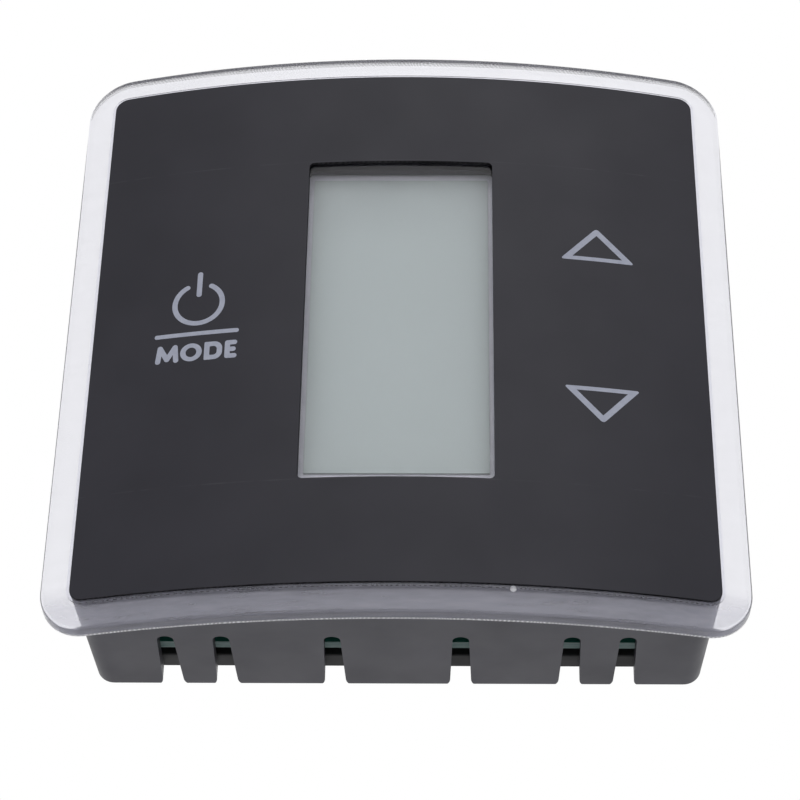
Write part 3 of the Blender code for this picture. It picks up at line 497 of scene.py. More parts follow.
def cut_edge():
    """The raw black edge of the overlay, with the tooth marks of the cutter."""
    material, tree, shader = make_material("cut_edge", (0.008, 0.008, 0.009), 0.8, specular_ior_level=0.2)
    patches = ranged(tree, noise(tree, 7.0 * MM, 2.0), 0.0, 0.8)
    broken = arithmetic(tree, "MULTIPLY", dashes(tree, 0.62 * MM), patches)
    tones = ((0.006, 0.006, 0.008), (0.06, 0.058, 0.066))
    tree.links.new(blended(tree, broken, *tones), shader.inputs["Base Color"])
    bump(tree, shader, noise(tree, 0.1 * MM, 2.0), 0.01 * MM)
    return material


def symbol_ink():
    """Lilac-grey screen ink."""
    tones = ((0.50, 0.53, 0.655), (0.58, 0.61, 0.735))
    pattern = (tones, 1.0 * MM, (0.42, 0.58), 0.8 * MM, 0.08 * MM, 0.002 * MM)
    return shaded("symbol_ink", (0.54, 0.57, 0.70), 0.5, *pattern)


def housing_plastic():
    """Dark grey moulded plastic with a fine spark-eroded grain and handling marks."""
    tones = ((0.050, 0.049, 0.060), (0.071, 0.070, 0.084))
    pattern = (tones, 11.0 * MM, (0.38, 0.50), 7.0 * MM, 0.16 * MM, 0.004 * MM, (1.0, 1.0, 1.6))
    return shaded("housing_plastic", (0.07, 0.07, 0.078), 0.45, *pattern)


def plate_plastic():
    """Matt black moulded plastic, a coarser grain than the housing's."""
    tones = ((0.014, 0.014, 0.015), (0.026, 0.026, 0.028))
    pattern = (tones, 9.0 * MM, (0.50, 0.68), 5.0 * MM, 0.22 * MM, 0.008 * MM)
    return shaded("plate_plastic", (0.02, 0.02, 0.022), 0.6, *pattern)


def moulding(name, dark, light, roughness, grain_depth=0.003 * MM):
    """A plain plastic, lacquer, ink or ceramic, between two tones."""
    rougher = (roughness - 0.06, roughness + 0.08)
    pattern = ((dark, light), 2.5 * MM, rougher, 1.5 * MM, 0.12 * MM, grain_depth)
    return shaded(name, light, roughness, *pattern)


def metal(name, dark, light, roughness):
    """A bare or plated metal."""
    rougher = (roughness - 0.08, roughness + 0.12)
    pattern = ((dark, light), 1.2 * MM, rougher, 0.6 * MM, 0.08 * MM, 0.002 * MM)
    return shaded(name, light, roughness, *pattern, metallic=1.0)


def display_film():
    """The display's front film: grey-green, with painted shade darkening its top, and a soft satin."""
    material, tree, shader = make_material("display_film", DISPLAY_TONE, 0.42)
    # painted shade: the film darkens towards its top, as in the shadow of the window's upper edge
    height = ranged(tree, place_axis(tree, "Z"), 0.0, 1.0, 14.0 * MM, 25.5 * MM)
    tone = blended(tree, height, DISPLAY_TONE, DISPLAY_SHADED_TOP_TONE)
    drift = ranged(tree, noise(tree, 16.0 * MM, 2.0), 0.0, 0.5)
    tree.links.new(blended(tree, drift, tone, DISPLAY_SIDE_TONE), shader.inputs["Base Color"])
    tree.links.new(ranged(tree, noise(tree, 4.0 * MM, 3.0), 0.38, 0.48), shader.inputs["Roughness"])
    bump(tree, shader, noise(tree, 0.1 * MM, 2.0), 0.0002 * MM)
    return material


def board_lacquer():
    """Green solder resist, glossy and a little uneven."""
    tones = ((0.020, 0.140, 0.105), (0.032, 0.190, 0.145))
    pattern = (tones, 6.0 * MM, (0.28, 0.42), 3.0 * MM, 0.3 * MM, 0.004 * MM)
    return shaded("board_lacquer", (0.025, 0.16, 0.12), 0.35, *pattern, coat_weight=0.3)


def board_edge():
    """The milled edge of the glass-epoxy board: paler, with glass layers along it."""
    tones = ((0.10, 0.19, 0.18), (0.24, 0.32, 0.31))
    pattern = (tones, 1.4 * MM, (0.5, 0.7), 0.8 * MM, 0.15 * MM, 0.01 * MM, (0.3, 6.0, 1.0))
    return shaded("board_edge", (0.11, 0.21, 0.20), 0.6, *pattern)


def zebra_rubber():
    """Silicone strip with thin dark conducting layers across it."""
    material, tree, shader = make_material("zebra_rubber", (0.6, 0.4, 0.42), 0.6)
    wave = tree.nodes.new("ShaderNodeTexWave")
    wave.inputs["Scale"].default_value = 1.0 / (0.9 * MM)
    wave.inputs["Distortion"].default_value = 0.3
    coordinates = tree.nodes.new("ShaderNodeTexCoord")
    tree.links.new(coordinates.outputs["Object"], wave.inputs["Vector"])
    layers = ranged(tree, wave.outputs["Fac"], 0.0, 1.0, 0.4, 0.6)
    tones = ((0.05, 0.04, 0.045), (0.62, 0.42, 0.44))
    tree.links.new(blended(tree, layers, *tones), shader.inputs["Base Color"])
    bump(tree, shader, wave.outputs["Fac"], 0.01 * MM)
    return material


def pane_glass():
    """A display pane, pale with the films behind it and softly glossy."""
    tones = ((0.80, 0.81, 0.86), (0.88, 0.89, 0.93))
    pattern = (tones, 3.0 * MM, (0.10, 0.20), 2.0 * MM, 0.2 * MM, 0.001 * MM)
    return shaded("pane_glass", (0.84, 0.84, 0.88), 0.12, *pattern, coat_weight=0.5)


# ---- pieces ----


def upright_edges(bm):
    """The edges of a lying mesh that run out of the wall."""
    return [edge for edge in bm.edges if abs(edge.verts[0].co.z - edge.verts[1].co.z) > TINY]


def box_mesh(left, right, low, high, bottom, top, corner=0.0, corner_steps=CORNER_STEPS):
    """A block lying on its back, with its upright edges rounded."""
    bm = bmesh.new()
    bmesh.ops.create_cube(bm, size=1.0)
    bmesh.ops.scale(bm, vec=(right - left, high - low, top - bottom), verts=bm.verts)
    middle = ((left + right) / 2, (low + high) / 2, (bottom + top) / 2)
    bmesh.ops.translate(bm, vec=middle, verts=bm.verts)
    if corner > 0.0:
        round_edges(bm, upright_edges(bm), corner, corner_steps)
    return bm


def slab(width, height, bottom, top, corner=0.0, centre=(0.0, 0.0), corner_steps=CORNER_STEPS):
    """A block of a width and height about a centre."""
    x, y = centre
    sides = (x - width / 2, x + width / 2, y - height / 2, y + height / 2)
    return box_mesh(*sides, bottom, top, corner, corner_steps)


def round_edges(bm, edges, radius, steps=EDGE_STEPS):
    """Rounds edges to a radius."""
    bmesh.ops.bevel(
        bm, geom=edges, offset=radius, segments=steps, profile=0.5, affect="EDGES", material=-1
    )


def grow(bm, reach):
    """Pulls flat faces out along a vector into a solid."""
    grown = bmesh.ops.extrude_face_region(bm, geom=list(bm.faces))["geom"]
    moved = [item for item in grown if isinstance(item, bmesh.types.BMVert)]
    bmesh.ops.translate(bm, vec=reach, verts=moved)
    bmesh.ops.recalc_face_normals(bm, faces=bm.faces)
    return bm


def flat_shape(points):
    """One flat face with its corners at three-dimensional points."""
    bm = bmesh.new()
    bm.faces.new([bm.verts.new(point) for point in points])
    return bm


def slice_across(bm, geometry, place, normal):
    """Cuts a mesh along a plane and keeps both sides."""
    bmesh.ops.bisect_plane(bm, geom=geometry, dist=TINY, plane_co=place, plane_no=normal)


def rim_edges(bm, bottom):
    """The edges around a slab's upper face, and its lower one if asked."""
    bm.normal_update()
    found = []
    for edge in bm.edges:
        if len(edge.link_faces) != 2:
            continue
        first, second = (face.normal.z for face in edge.link_faces)
        level = max(first, second, key=abs)
        if abs(abs(first) - abs(second)) < 0.5:
            continue
        if level > 0.5 or (level < -0.5 and bottom):
            found.append(edge)
    return found


def soften(bm, radius, steps=EDGE_STEPS, bottom=True):
    """Rounds the edges around a slab's upper face, and around its lower one unless told not to."""
    round_edges(bm, rim_edges(bm, bottom), radius, steps)
    return bm


def rod(radius, bottom, top, centre=(0.0, 0.0), sides=ROUND_SIDES):
    """An upright cylinder."""
    bm = bmesh.new()
    bmesh.ops.create_cone(
        bm, cap_ends=True, segments=sides, radius1=radius, radius2=radius, depth=top - bottom
    )
    bmesh.ops.translate(bm, vec=(*centre, (bottom + top) / 2), verts=bm.verts)
    return bm


def together(pieces):
    """Several bmeshes as one, without a union."""
    whole = bmesh.new()
    for piece in pieces:
        mesh = bpy.data.meshes.new("step")
        piece.to_mesh(mesh)
        piece.free()
        whole.from_mesh(mesh)
        bpy.data.meshes.remove(mesh)
    return whole


def shaped(target, tool, operation):
    """The bmesh that a Boolean of two others makes."""
    objects = []
    for name, bm in (("target", target), ("tool", tool)):
        mesh = bpy.data.meshes.new(name)
        bm.to_mesh(mesh)
        bm.free()
        item = bpy.data.objects.new(name, mesh)
        bpy.context.scene.collection.objects.link(item)
        objects.append(item)
    modifier = objects[0].modifiers.new(operation, "BOOLEAN")
    modifier.operation = operation
    modifier.solver = "EXACT"
    modifier.object = objects[1]
    bpy.context.view_layer.update()
    graph = bpy.context.evaluated_depsgraph_get()
    result = bpy.data.meshes.new_from_object(objects[0].evaluated_get(graph))
    whole = bmesh.new()
    whole.from_mesh(result)
    for item in objects:
        mesh = item.data
        bpy.data.objects.remove(item)
        bpy.data.meshes.remove(mesh)
    bpy.data.meshes.remove(result)
    return whole


def minus(target, tool):
    """The target with the tool cut out of it."""
    return shaped(target, tool, "DIFFERENCE")


def plus(target, tool):
    """The two as one solid."""
    return shaped(target, tool, "UNION")


def joined(pieces):
    """A union of bmeshes, one after another."""
    whole = pieces[0]
    for piece in pieces[1:]:
        whole = plus(whole, piece)
    return whole


def bend(bm, left, right):
    """Cuts a mesh into strips across x and lets them drop along the bow of the face."""
    for index in range(math.ceil(left / BOW_STEP), math.floor(right / BOW_STEP) + 1):
        geometry = [*bm.verts, *bm.edges, *bm.faces]
        slice_across(bm, geometry, (index * BOW_STEP, 0.0, 0.0), (1.0, 0.0, 0.0))
    for vert in bm.verts:
        vert.co.z -= sag(vert.co.x)
    return bm


def add_piece(name, bm, materials, body=FRONT_UNIT, replaces=(), sharp=35.0, weighted=True):
    """Stands a lying mesh up in the frame and makes it a piece that rides on a body."""
    bmesh.ops.transform(bm, matrix=Matrix.Rotation(math.pi / 2, 4, "X"), verts=bm.verts)
    mesh = bpy.data.meshes.new(name)
    bm.to_mesh(mesh)
    bm.free()
    mesh.shade_smooth()
    mesh.set_sharp_from_angle(angle=math.radians(sharp))
    piece = bpy.data.objects.new(name, mesh)
    bpy.context.scene.collection.objects.link(piece)
    for material in materials if isinstance(materials, list) else [materials]:
        mesh.materials.append(material)
    if weighted:
        piece.modifiers.new("even_shading", "WEIGHTED_NORMAL").keep_sharp = True
    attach(piece, body)
    if replaces:
        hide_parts(*replaces)


# ---- face ----


def make_face_plate():
    """The bowed clear plate, whose edge is in two bands: in front a copy of the acrylic tinted a little darker
    as painted shade, and at the back a painted highlight.
    """
    back = FACE_FRONT - FACE_THICKNESS
    plate = slab(FACE_WIDTH, FACE_HEIGHT, back, FACE_FRONT, FACE_CORNER, corner_steps=20)
    soften(plate, FACE_EDGE, 4)
    geometry = [*plate.verts, *plate.edges, *plate.faces]
    # painted highlight on the back band of the edge, painted shade on the side band in front of it
    slice_across(plate, geometry, (0.0, 0.0, back + PAINTED_HIGHLIGHT_BAND), (0.0, 0.0, 1.0))
    plate.normal_update()
    for face in plate.faces:
        if abs(face.normal.z) < 0.99:
            face.material_index = 1 if face.calc_center_median().z > back + PAINTED_HIGHLIGHT_BAND else 2
    bend(plate, -FACE_WIDTH / 2, FACE_WIDTH / 2)
    # the side band's darker tint is painted shade; the back band's white haze is a painted highlight
    side = edge_acrylic("acrylic_shaded_side", (0.91, 0.91, 0.96), (0.0, 0.07), (0.80, 0.80, 0.90))
    back_highlight = edge_acrylic("acrylic_back_highlight", (0.97, 0.97, 1.0), (0.50, 1.0), (1.0, 1.0, 1.0))
    finishes = [clear_acrylic(), side, back_highlight]
    add_piece("face_plate_clear", plate, finishes, replaces=["face_plate"])


def make_overlay_margin():
    """The overlay's clear carrier shows as a narrow border, with a pale cut edge."""
    bottom = OVERLAY_TOP - OVERLAY_THICKNESS + 0.02 * MM
    top = bottom + MARGIN_THICKNESS
    outside = OVERLAY_WIDTH + 2 * MARGIN_WIDTH
    inside = OVERLAY_WIDTH - 0.06 * MM
    border = slab(outside, outside, bottom, top, OVERLAY_CORNER + MARGIN_WIDTH)
    border = minus(border, slab(inside, inside, bottom - THROUGH, top + THROUGH, OVERLAY_CORNER))
    border.normal_update()
    for face in border.faces:
        middle = face.calc_center_median()
        if abs(face.normal.z) < 0.5 and max(abs(middle.x), abs(middle.y)) > (inside + MARGIN_WIDTH) / 2:
            face.material_index = 1
    bend(border, -outside / 2, outside / 2)
    carrier, _, _ = make_material(
        "carrier_film", (0.93, 0.93, 0.97), 0.08, transmission_weight=1.0, ior=ACRYLIC_IOR
    )
    pale_edge = edge_acrylic("carrier_edge", (0.7, 0.7, 0.75), (0.35, 0.8), (0.42, 0.42, 0.47), 0.7 * MM)
    add_piece("overlay_margin", border, [carrier, pale_edge])


def make_glue_bead():
    """A drop of adhesive squeezed out under the overlay's lower edge."""
    level = FACE_FRONT - sag(GLUE_BEAD[0])
    crown = 0.7 * GLUE_BEAD_RADIUS
    profile = []
    for step in range(6):
        angle = math.pi / 2 * step / 6
        profile.append((GLUE_BEAD_RADIUS * math.cos(angle), level + crown * math.sin(angle)))
    drop = lathe(profile + [(0.0, level + crown), (0.0, level - 0.05 * MM)], GLUE_BEAD, 28)
    add_piece("overlay_glue_bead", drop, finish("dried_glue"))


def make_overlay():
    """The black film with its window, softly rounded in front and cut square behind."""
    bottom = OVERLAY_TOP - OVERLAY_THICKNESS
    sheet = slab(OVERLAY_WIDTH, OVERLAY_WIDTH, bottom, OVERLAY_TOP, OVERLAY_CORNER)
    window = slab(WINDOW_WIDTH, WINDOW_HEIGHT, bottom - THROUGH, OVERLAY_TOP + THROUGH, WINDOW_CORNER)
    sheet = minus(sheet, window)
    soften(sheet, OVERLAY_EDGE, 2, bottom=False)
    bend(sheet, -OVERLAY_WIDTH / 2, OVERLAY_WIDTH / 2)
    sheet.normal_update()
    for face in sheet.faces:
        if face.normal.z < 0.6:
            face.material_index = 1
    finishes = [overlay_film(), cut_edge()]
    add_piece("overlay_film", sheet, finishes, replaces=["overlay"])


# ---- printed symbols ----


def capsule(start, end, width):
    """A flat stroke with round ends."""
    sides = 24
    bm = bmesh.new()
    bmesh.ops.create_circle(bm, cap_ends=True, segments=sides, radius=width / 2)
    along = Vector((end[0] - start[0], end[1] - start[1], 0.0))
    heading = math.atan2(along.y, along.x) + math.pi / sides
    bmesh.ops.rotate(bm, cent=(0, 0, 0), matrix=Matrix.Rotation(heading, 3, "Z"), verts=bm.verts)
    ahead = [vert for vert in bm.verts if vert.co.dot(along) > 0.0]
    bmesh.ops.translate(bm, vec=along, verts=ahead)
    bmesh.ops.translate(bm, vec=(*start, 0.0), verts=bm.verts)
    return thicken(bm)


def thicken(bm):
    """A flat face raised to the thickness of a printed layer, on top of the overlay."""
    bmesh.ops.translate(bm, vec=(0.0, 0.0, OVERLAY_TOP - PRINT_SINK), verts=bm.verts)
    return grow(bm, (0.0, 0.0, PRINT_THICKNESS))


def disc(centre, radius_x, radius_y, sides=64):
    """A printed round or oval."""
    bm = bmesh.new()
    bmesh.ops.create_circle(bm, cap_ends=True, segments=sides, radius=1.0)
    bmesh.ops.scale(bm, vec=(radius_x, radius_y, 1.0), verts=bm.verts)
    bmesh.ops.translate(bm, vec=(*centre, 0.0), verts=bm.verts)
    return thicken(bm)


def triangle(apex_y, base_y, half_base, corner):
    """A printed triangle that points up or down, with its corners rounded."""
    points = ((ARROW_X, apex_y), (ARROW_X - half_base, base_y), (ARROW_X + half_base, base_y))
    bm = thicken(flat_shape([(x, y, 0.0) for x, y in points]))
    round_edges(bm, upright_edges(bm), corner, 4)
    return bm


def taller(bm):
    """A cutter for a printed layer, made to reach past it on both sides."""
    middle = OVERLAY_TOP - PRINT_SINK + PRINT_THICKNESS / 2
    for vert in bm.verts:
        vert.co.z = middle + math.copysign(THROUGH, vert.co.z - middle)
    return bm


def add_symbol(name, bm, ink):
    """A printed symbol that follows the bow of the face."""
    xs = [vert.co.x for vert in bm.verts]
    bmesh.ops.dissolve_limit(bm, angle_limit=math.radians(0.5), verts=bm.verts, edges=bm.edges)
    bend(bm, min(xs), max(xs))
    add_piece(name, bm, ink, weighted=False)


def power_ring():
    """A ring that is open at its top, with round ends."""
    x, y = POWER_PLACE
    outer = POWER_RADIUS + STROKE / 2
    inner = POWER_RADIUS - STROKE / 2
    ring = minus(disc(POWER_PLACE, outer, outer, 96), taller(disc(POWER_PLACE, inner, inner, 96)))
    out = math.sin(POWER_OPENING)
    up = math.cos(POWER_OPENING)
    far = 2 * POWER_RADIUS
    wedge = ((x, y, 0.0), (x + far * out, y + far * up, 0.0), (x - far * out, y + far * up, 0.0))
    ring = minus(ring, taller(thicken(flat_shape(wedge))))
    for side in (-1, 1):
        end = (x + side * POWER_RADIUS * out, y + POWER_RADIUS * up)
        ring = plus(ring, disc(end, STROKE / 2, STROKE / 2, 24))
    return ring


def make_symbols():
    """The power sign over a bar and a word, and the two arrows."""
    ink = symbol_ink()
    add_symbol("symbol_power_ring", power_ring(), ink)
    x = POWER_PLACE[0]
    add_symbol("symbol_power_stem", capsule((x, 7.80 * MM), (x - 0.01 * MM, 4.40 * MM), STROKE), ink)
    bar = capsule((-32.22 * MM, -2.00 * MM), (-21.48 * MM, -1.98 * MM), BAR_STROKE)
    add_symbol("symbol_bar", bar, ink)
    make_word(ink)
    for name, way, base in (("symbol_up", 1, 9.97 * MM), ("symbol_down", -1, 10.68 * MM)):
        outer = triangle(way * (base + 5.58 * MM), way * base, 5.05 * MM, 0.5 * MM)
        inner = triangle(way * (base + 4.36 * MM), way * (base + 0.62 * MM), 3.38 * MM, 0.08 * MM)
        add_symbol(name, minus(outer, taller(inner)), ink)


def make_word(ink):
    """The word under the bar, in plain round strokes."""
    half = STROKE / 2
    low = -6.42 * MM + half
    high = -3.55 * MM - half
    middle = (low + high) / 2

    m_middle = -30.65 * MM
    m_dip = (m_middle, low + 0.25 * MM)
    m_feet = [(m_middle + side * 1.22 * MM, low) for side in (-1, 1)]
    m_shoulders = [(m_middle + side * 1.01 * MM, high) for side in (-1, 1)]
    m_route = [m_feet[0], m_shoulders[0], m_dip, m_shoulders[1], m_feet[1]]
    letter_m = [capsule(start, end, STROKE) for start, end in zip(m_route, m_route[1:])]
    add_symbol("symbol_letter_m", joined(letter_m), ink)

    e_left = -22.93 * MM + half
    e_right = -21.28 * MM - half
    letter_e = [capsule((e_left, low), (e_left, high), STROKE)]
    for end, height in ((e_right, high), (e_right - 0.15 * MM, middle), (e_right, low)):
        letter_e.append(capsule((e_left, height), (end, height), STROKE))
    add_symbol("symbol_letter_e", joined(letter_e), ink)

    o_centre = (-27.44 * MM, middle)
    hole = taller(disc(o_centre, 0.72 * MM, 0.76 * MM))
    add_symbol("symbol_letter_o", minus(disc(o_centre, 1.46 * MM, 1.43 * MM), hole), ink)

    d_left = -25.68 * MM
    d_right = -23.26 * MM
    letter_d = round_right(d_left, d_right, low - half, high + half, 1.15 * MM)
    hole = round_right(d_left + STROKE, d_right - STROKE, low + half, high - half, 0.5 * MM)
    add_symbol("symbol_letter_d", minus(letter_d, taller(hole)), ink)


def round_right(left, right, low, high, radius):
    """A printed rectangle with two round corners on its right and two small ones on its left."""
    bottom = OVERLAY_TOP - PRINT_SINK
    bm = box_mesh(left, right, low, high, bottom, bottom + PRINT_THICKNESS)
    middle = (left + right) / 2
    round_edges(bm, [edge for edge in upright_edges(bm) if edge.verts[0].co.x > middle], radius, 8)
    left_edges = [edge for edge in upright_edges(bm) if edge.verts[0].co.x < left + TINY]
    round_edges(bm, left_edges, 0.15 * MM, 3)
    return bm


# ---- housing ----


def housing_half(height):
    """Half of the housing's outer width, at a height above the wall; it is square before the bow is cut."""
    return HOUSING_HALF - DRAFT * (HOUSING_FRONT - height)


def drafted_block(inset, bottom, top, corner):
    """A block that follows the housing's draft, a given distance inside its outer walls."""
    half = housing_half(top) - inset
    bm = slab(2 * half, 2 * half, bottom, top)
    narrower = DRAFT * (top - bottom)
    for vert in bm.verts:
        if vert.co.z < (bottom + top) / 2:
            vert.co.x -= math.copysign(narrower, vert.co.x)
            vert.co.y -= math.copysign(narrower, vert.co.y)
    round_edges(bm, upright_edges(bm), corner, CORNER_STEPS)
    return bm


def bow_top(bm, above):
    """Lets the upper face drop along the bow, each point sliding down its drafted wall."""
    count = int(HOUSING_HALF / BOW_STEP)
    nearly_up = 0.9
    for index in range(-count, count + 1):
        bm.normal_update()
        faces = [face for face in bm.faces if face.normal.z > nearly_up]
        edges = {edge for face in faces for edge in face.edges}
        verts = {vert for face in faces for vert in face.verts}
        slice_across(bm, [*verts, *edges, *faces], (index * BOW_STEP, 0.0, 0.0), (1.0, 0.0, 0.0))
    for vert in bm.verts:
        if vert.co.z < above:
            continue
        drop = 0.0
        for _ in range(4):
            drop = sag(abs(vert.co.x) - DRAFT * drop)
        vert.co.x -= math.copysign(DRAFT * drop, vert.co.x)
        vert.co.y -= math.copysign(DRAFT * drop, vert.co.y)
        vert.co.z -= drop
    return bm


def notch_cutter(x, wall_y):
    """A prism of a vent notch's shape, through the lower or upper wall."""
    quarter = [math.pi / 2 * step / 8 for step in range(9)]
    foot = NOTCH_MOUTH_WIDTH / 2 + NOTCH_FLARE
    radius = NOTCH_TOP_WIDTH / 2
    half = [(foot, -THROUGH)]
    for turn in quarter:
        half.append((foot - NOTCH_FLARE * math.sin(turn), NOTCH_FLARE_HEIGHT * (1 - math.cos(turn))))
    for turn in quarter:
        half.append((radius * math.cos(turn), NOTCH_HEIGHT - radius + radius * math.sin(turn)))
    outline = half + [(-out, height) for out, height in reversed(half[:-1])]
    depth = WALL + 2 * THROUGH
    prism = flat_shape([(x + out, wall_y - depth / 2, height) for out, height in outline])
    return grow(prism, (0.0, depth, 0.0))


def screw_places(group):
    """Where the screws of a group stand: the middle of the first one's box, mirrored."""
    x, y = middle_of(f"{group}_screw_1")
    return corners(abs(x), abs(y))


def make_housing():
    """The drafted shell with its bow, screw posts, display pocket, key holes and vent notches."""
    inside = HOUSING_FRONT - FRONT_WALL
    shell = drafted_block(0.0, 0.0, HOUSING_FRONT, HOUSING_CORNER)
    mouth = [edge for edge in shell.edges if all(vert.co.z < TINY for vert in edge.verts)]
    round_edges(shell, mouth, HOUSING_EDGE, 3)
    bow_top(shell, HOUSING_FRONT / 2)
    shell = minus(shell, bow_top(drafted_block(WALL, -THROUGH, inside, INNER_CORNER), inside / 2))
    for group in ("main_board", "display_board"):
        seat = lying_box(group)[5] + SEAT_GAP
        places = screw_places(group)
        top = inside - sag(places[0][0]) + FRONT_WALL / 2
        depth = lying_box(f"{group}_screw_1")[5] + 0.5 * MM
        shell = plus(shell, together([rod(POST_RADIUS, seat, top, place) for place in places]))
        holes = [rod(SCREW_HOLE_RADIUS, seat - THROUGH, depth, place) for place in places]
        shell = minus(shell, together(holes))
    _, glass_x, _, glass_y, _, _ = lying_box("display_front_glass")
    behind = lying_box("display_board")[5] + SEAT_GAP
    past = HOUSING_FRONT + THROUGH
    pocket = (2 * (glass_x + POCKET_GAP), 2 * (glass_y + POCKET_GAP))
    shell = minus(shell, slab(*pocket, behind, HOUSING_FRONT - POCKET_WALL))
    openings = [slab(WINDOW_WIDTH, WINDOW_HEIGHT, behind, past, WINDOW_CORNER)]
    for key in ("mode", "up", "down"):
        openings.append(rod(KEY_HOLE_RADIUS, behind, past, middle_of(f"touch_spring_{key}")))
    shell = minus(shell, together(openings))
    wall_y = housing_half(NOTCH_HEIGHT / 2) - WALL / 2
    notches = [notch_cutter(x, y) for offset in NOTCH_OFFSETS for x, y in corners(offset, wall_y)]
    shell = minus(shell, together(notches))
    add_piece("housing_shell", shell, housing_plastic(), replaces=["housing"], sharp=30.0)


# ---- display ----


def soft_block(node, name, material, edge, corner=0.0):
    """A node's block again, with rounded edges."""
    bm = soften(box_mesh(*lying_box(node), corner, 4), edge, 2)
    add_piece(name, bm, material, replaces=[node])


def make_display():
    """The display's front film, its two panes and the reflecting film behind them."""
    film = display_film()
    soft_block("display_front_polarizer", "display_front_film", film, 0.03 * MM, 0.2 * MM)
    pane = pane_glass()
    for place in ("front", "rear"):
        soft_block(f"display_{place}_glass", f"display_{place}_pane", pane, 0.08 * MM)
    reflector = finish("reflector_film")
    soft_block("display_reflector", "display_reflector_film", reflector, 0.03 * MM)


# ---- circuit boards ----


def board(node, name):
    """A board with rounded corners: green faces, and the paler glass-epoxy showing at the milled edges."""
    bm = box_mesh(*lying_box(node), BOARD_CORNER)
    _, _, _, _, bottom, top = lying_box(node)
    places = screw_places(node)
    cutters = [rod(BOARD_HOLE_RADIUS, bottom - THROUGH, top + THROUGH, place, 32) for place in places]
    bm = minus(bm, together(cutters))
    bm.normal_update()
    for face in bm.faces:
        if abs(face.normal.z) < 0.5:
            face.material_index = 1
    finishes = [board_lacquer(), board_edge()]
    add_piece(name, bm, finishes, replaces=[node], weighted=False)


def track(points, level, width=TRACK_WIDTH):
    """A copper track: a mitred strip along its points, raised by the lacquer over it."""
    bm = bmesh.new()
    rims = []
    for index, point in enumerate(points):
        here = Vector(point)
        before = (here - Vector(points[index - 1])).normalized() if index > 0 else None
        after = (Vector(points[index + 1]) - here).normalized() if index < len(points) - 1 else None
        before = before or after
        after = after or before
        along = (before + after).normalized()
        side = Vector((-along.y, along.x)) * (width / 2) / max(along.dot(before), 0.5)
        rims.append([bm.verts.new((*(here + way * side), level - LACQUER_RISE)) for way in (1, -1)])
    for (upper, lower), (next_upper, next_lower) in zip(rims, rims[1:]):
        bm.faces.new((upper, lower, next_lower, next_upper))
    return grow(bm, (0.0, 0.0, LACQUER_RISE))


def dog_leg(start, end):
    """A route that leaves straight and finishes on a 45 degree leg, as board tracks do."""
    across = end[0] - start[0]
    upwards = end[1] - start[1]
    if abs(across) > abs(upwards):
        elbow = (end[0] - math.copysign(abs(upwards), across), start[1])
    else:
        elbow = (start[0], end[1] - math.copysign(abs(across), upwards))
    return [start, elbow, end]


def solder_dome(place, level):
    """A wetted solder joint with the clipped end of a lead standing out of it, towards the wall."""
    outline = ((1.0, 0.0), (0.93, 0.12), (0.62, 0.38), (0.40, 0.70), (0.30, 0.78), (0.27, 1.0), (0.0, 1.0))
    profile = [(SOLDER_RADIUS * out, level - SOLDER_HEIGHT * stand) for out, stand in outline]
    return lathe(profile + [(0.0, level)], place, 20)


def lathe(profile, centre, sides=ROUND_SIDES):
    """A turned shape from (radius, height) points that start off the axis and close along it."""
    bm = bmesh.new()
    verts = [bm.verts.new((radius, 0.0, height)) for radius, height in profile]
    edges = [bm.edges.new(pair) for pair in zip(verts, verts[1:])]
    edges.append(bm.edges.new((verts[-1], verts[0])))
    bmesh.ops.spin(
        bm,
        geom=verts + edges,
        cent=(0.0, 0.0, 0.0),
        axis=(0.0, 0.0, 1.0),
        angle=2 * math.pi,
        steps=sides,
        use_merge=True,
    )
    bmesh.ops.remove_doubles(bm, verts=bm.verts, dist=TINY / 10)
    bmesh.ops.dissolve_degenerate(bm, dist=TINY / 10, edges=bm.edges)
    bmesh.ops.recalc_face_normals(bm, faces=bm.faces)
    bmesh.ops.translate(bm, vec=(*centre, 0.0), verts=bm.verts)
    return bm


def chip_part(place, size, level, turned):
    """A small ceramic part and its two metal ends, standing off the back of a board."""
    x, y = place
    long, wide, tall = size
    cap = long * 0.2

    def block(start, end, bottom, top):
        """A box between two distances along the part."""
        along, across = (start, end), (-wide / 2, wide / 2)
        (left, right), (low, high) = (across, along) if turned else (along, across)
        return box_mesh(x + left, x + right, y + low, y + high, bottom, top)

    body = block(cap + PART_RISE - long / 2, long / 2 - cap - PART_RISE, level - tall, level - PART_RISE)
    tips = [
        soften(block(start, start + cap, level - tall - PART_RISE, level), 0.06 * MM, 2)
        for start in (-long / 2, long / 2 - cap)
    ]
    return body, tips


def board_joints():
    """Where leads come through: the header's six, then the capacitors', the sensor's and the inductor's."""
    joints = [((index - 2.5) * LINK_PITCH, LINK_ROW_Y) for index in range(6)]
    spreads = {"capacitor_left": 1.25 * MM, "capacitor_right": 1.25 * MM, "air_thermistor": 0.6 * MM}
    for node, spread in spreads.items():
        x, y = middle_of(node)
        joints += [(x - spread, y), (x + spread, y)]
    left, right, low, high, _, _ = lying_box("power_inductor")
    return joints + [(x, (low + high) / 2) for x in (left + MM, right - MM)]


def test_pads():
    """A row of bare pads along the board's lower edge, and one down its right side."""
    lower = [(-31.0 * MM + index * PROBE_PITCH, -26.5 * MM) for index in range(5)]
    return lower + [(24.0 * MM, 4.0 * MM - index * PROBE_PITCH) for index in range(6)]


def small_part_places():
    """((x, y), turned) of each small ceramic part."""
    places = []
    for left, top, count, turned in PART_ROWS:
        for index in range(count):
            step = PART_PITCH * index
            places.append(((left + step, top) if turned else (left, top - step), turned))
    return places


def contact_offsets():
    """How far to the side each of the cable socket's four contacts stands."""
    return [(index - 1.5) * CONTACT_PITCH for index in range(4)]


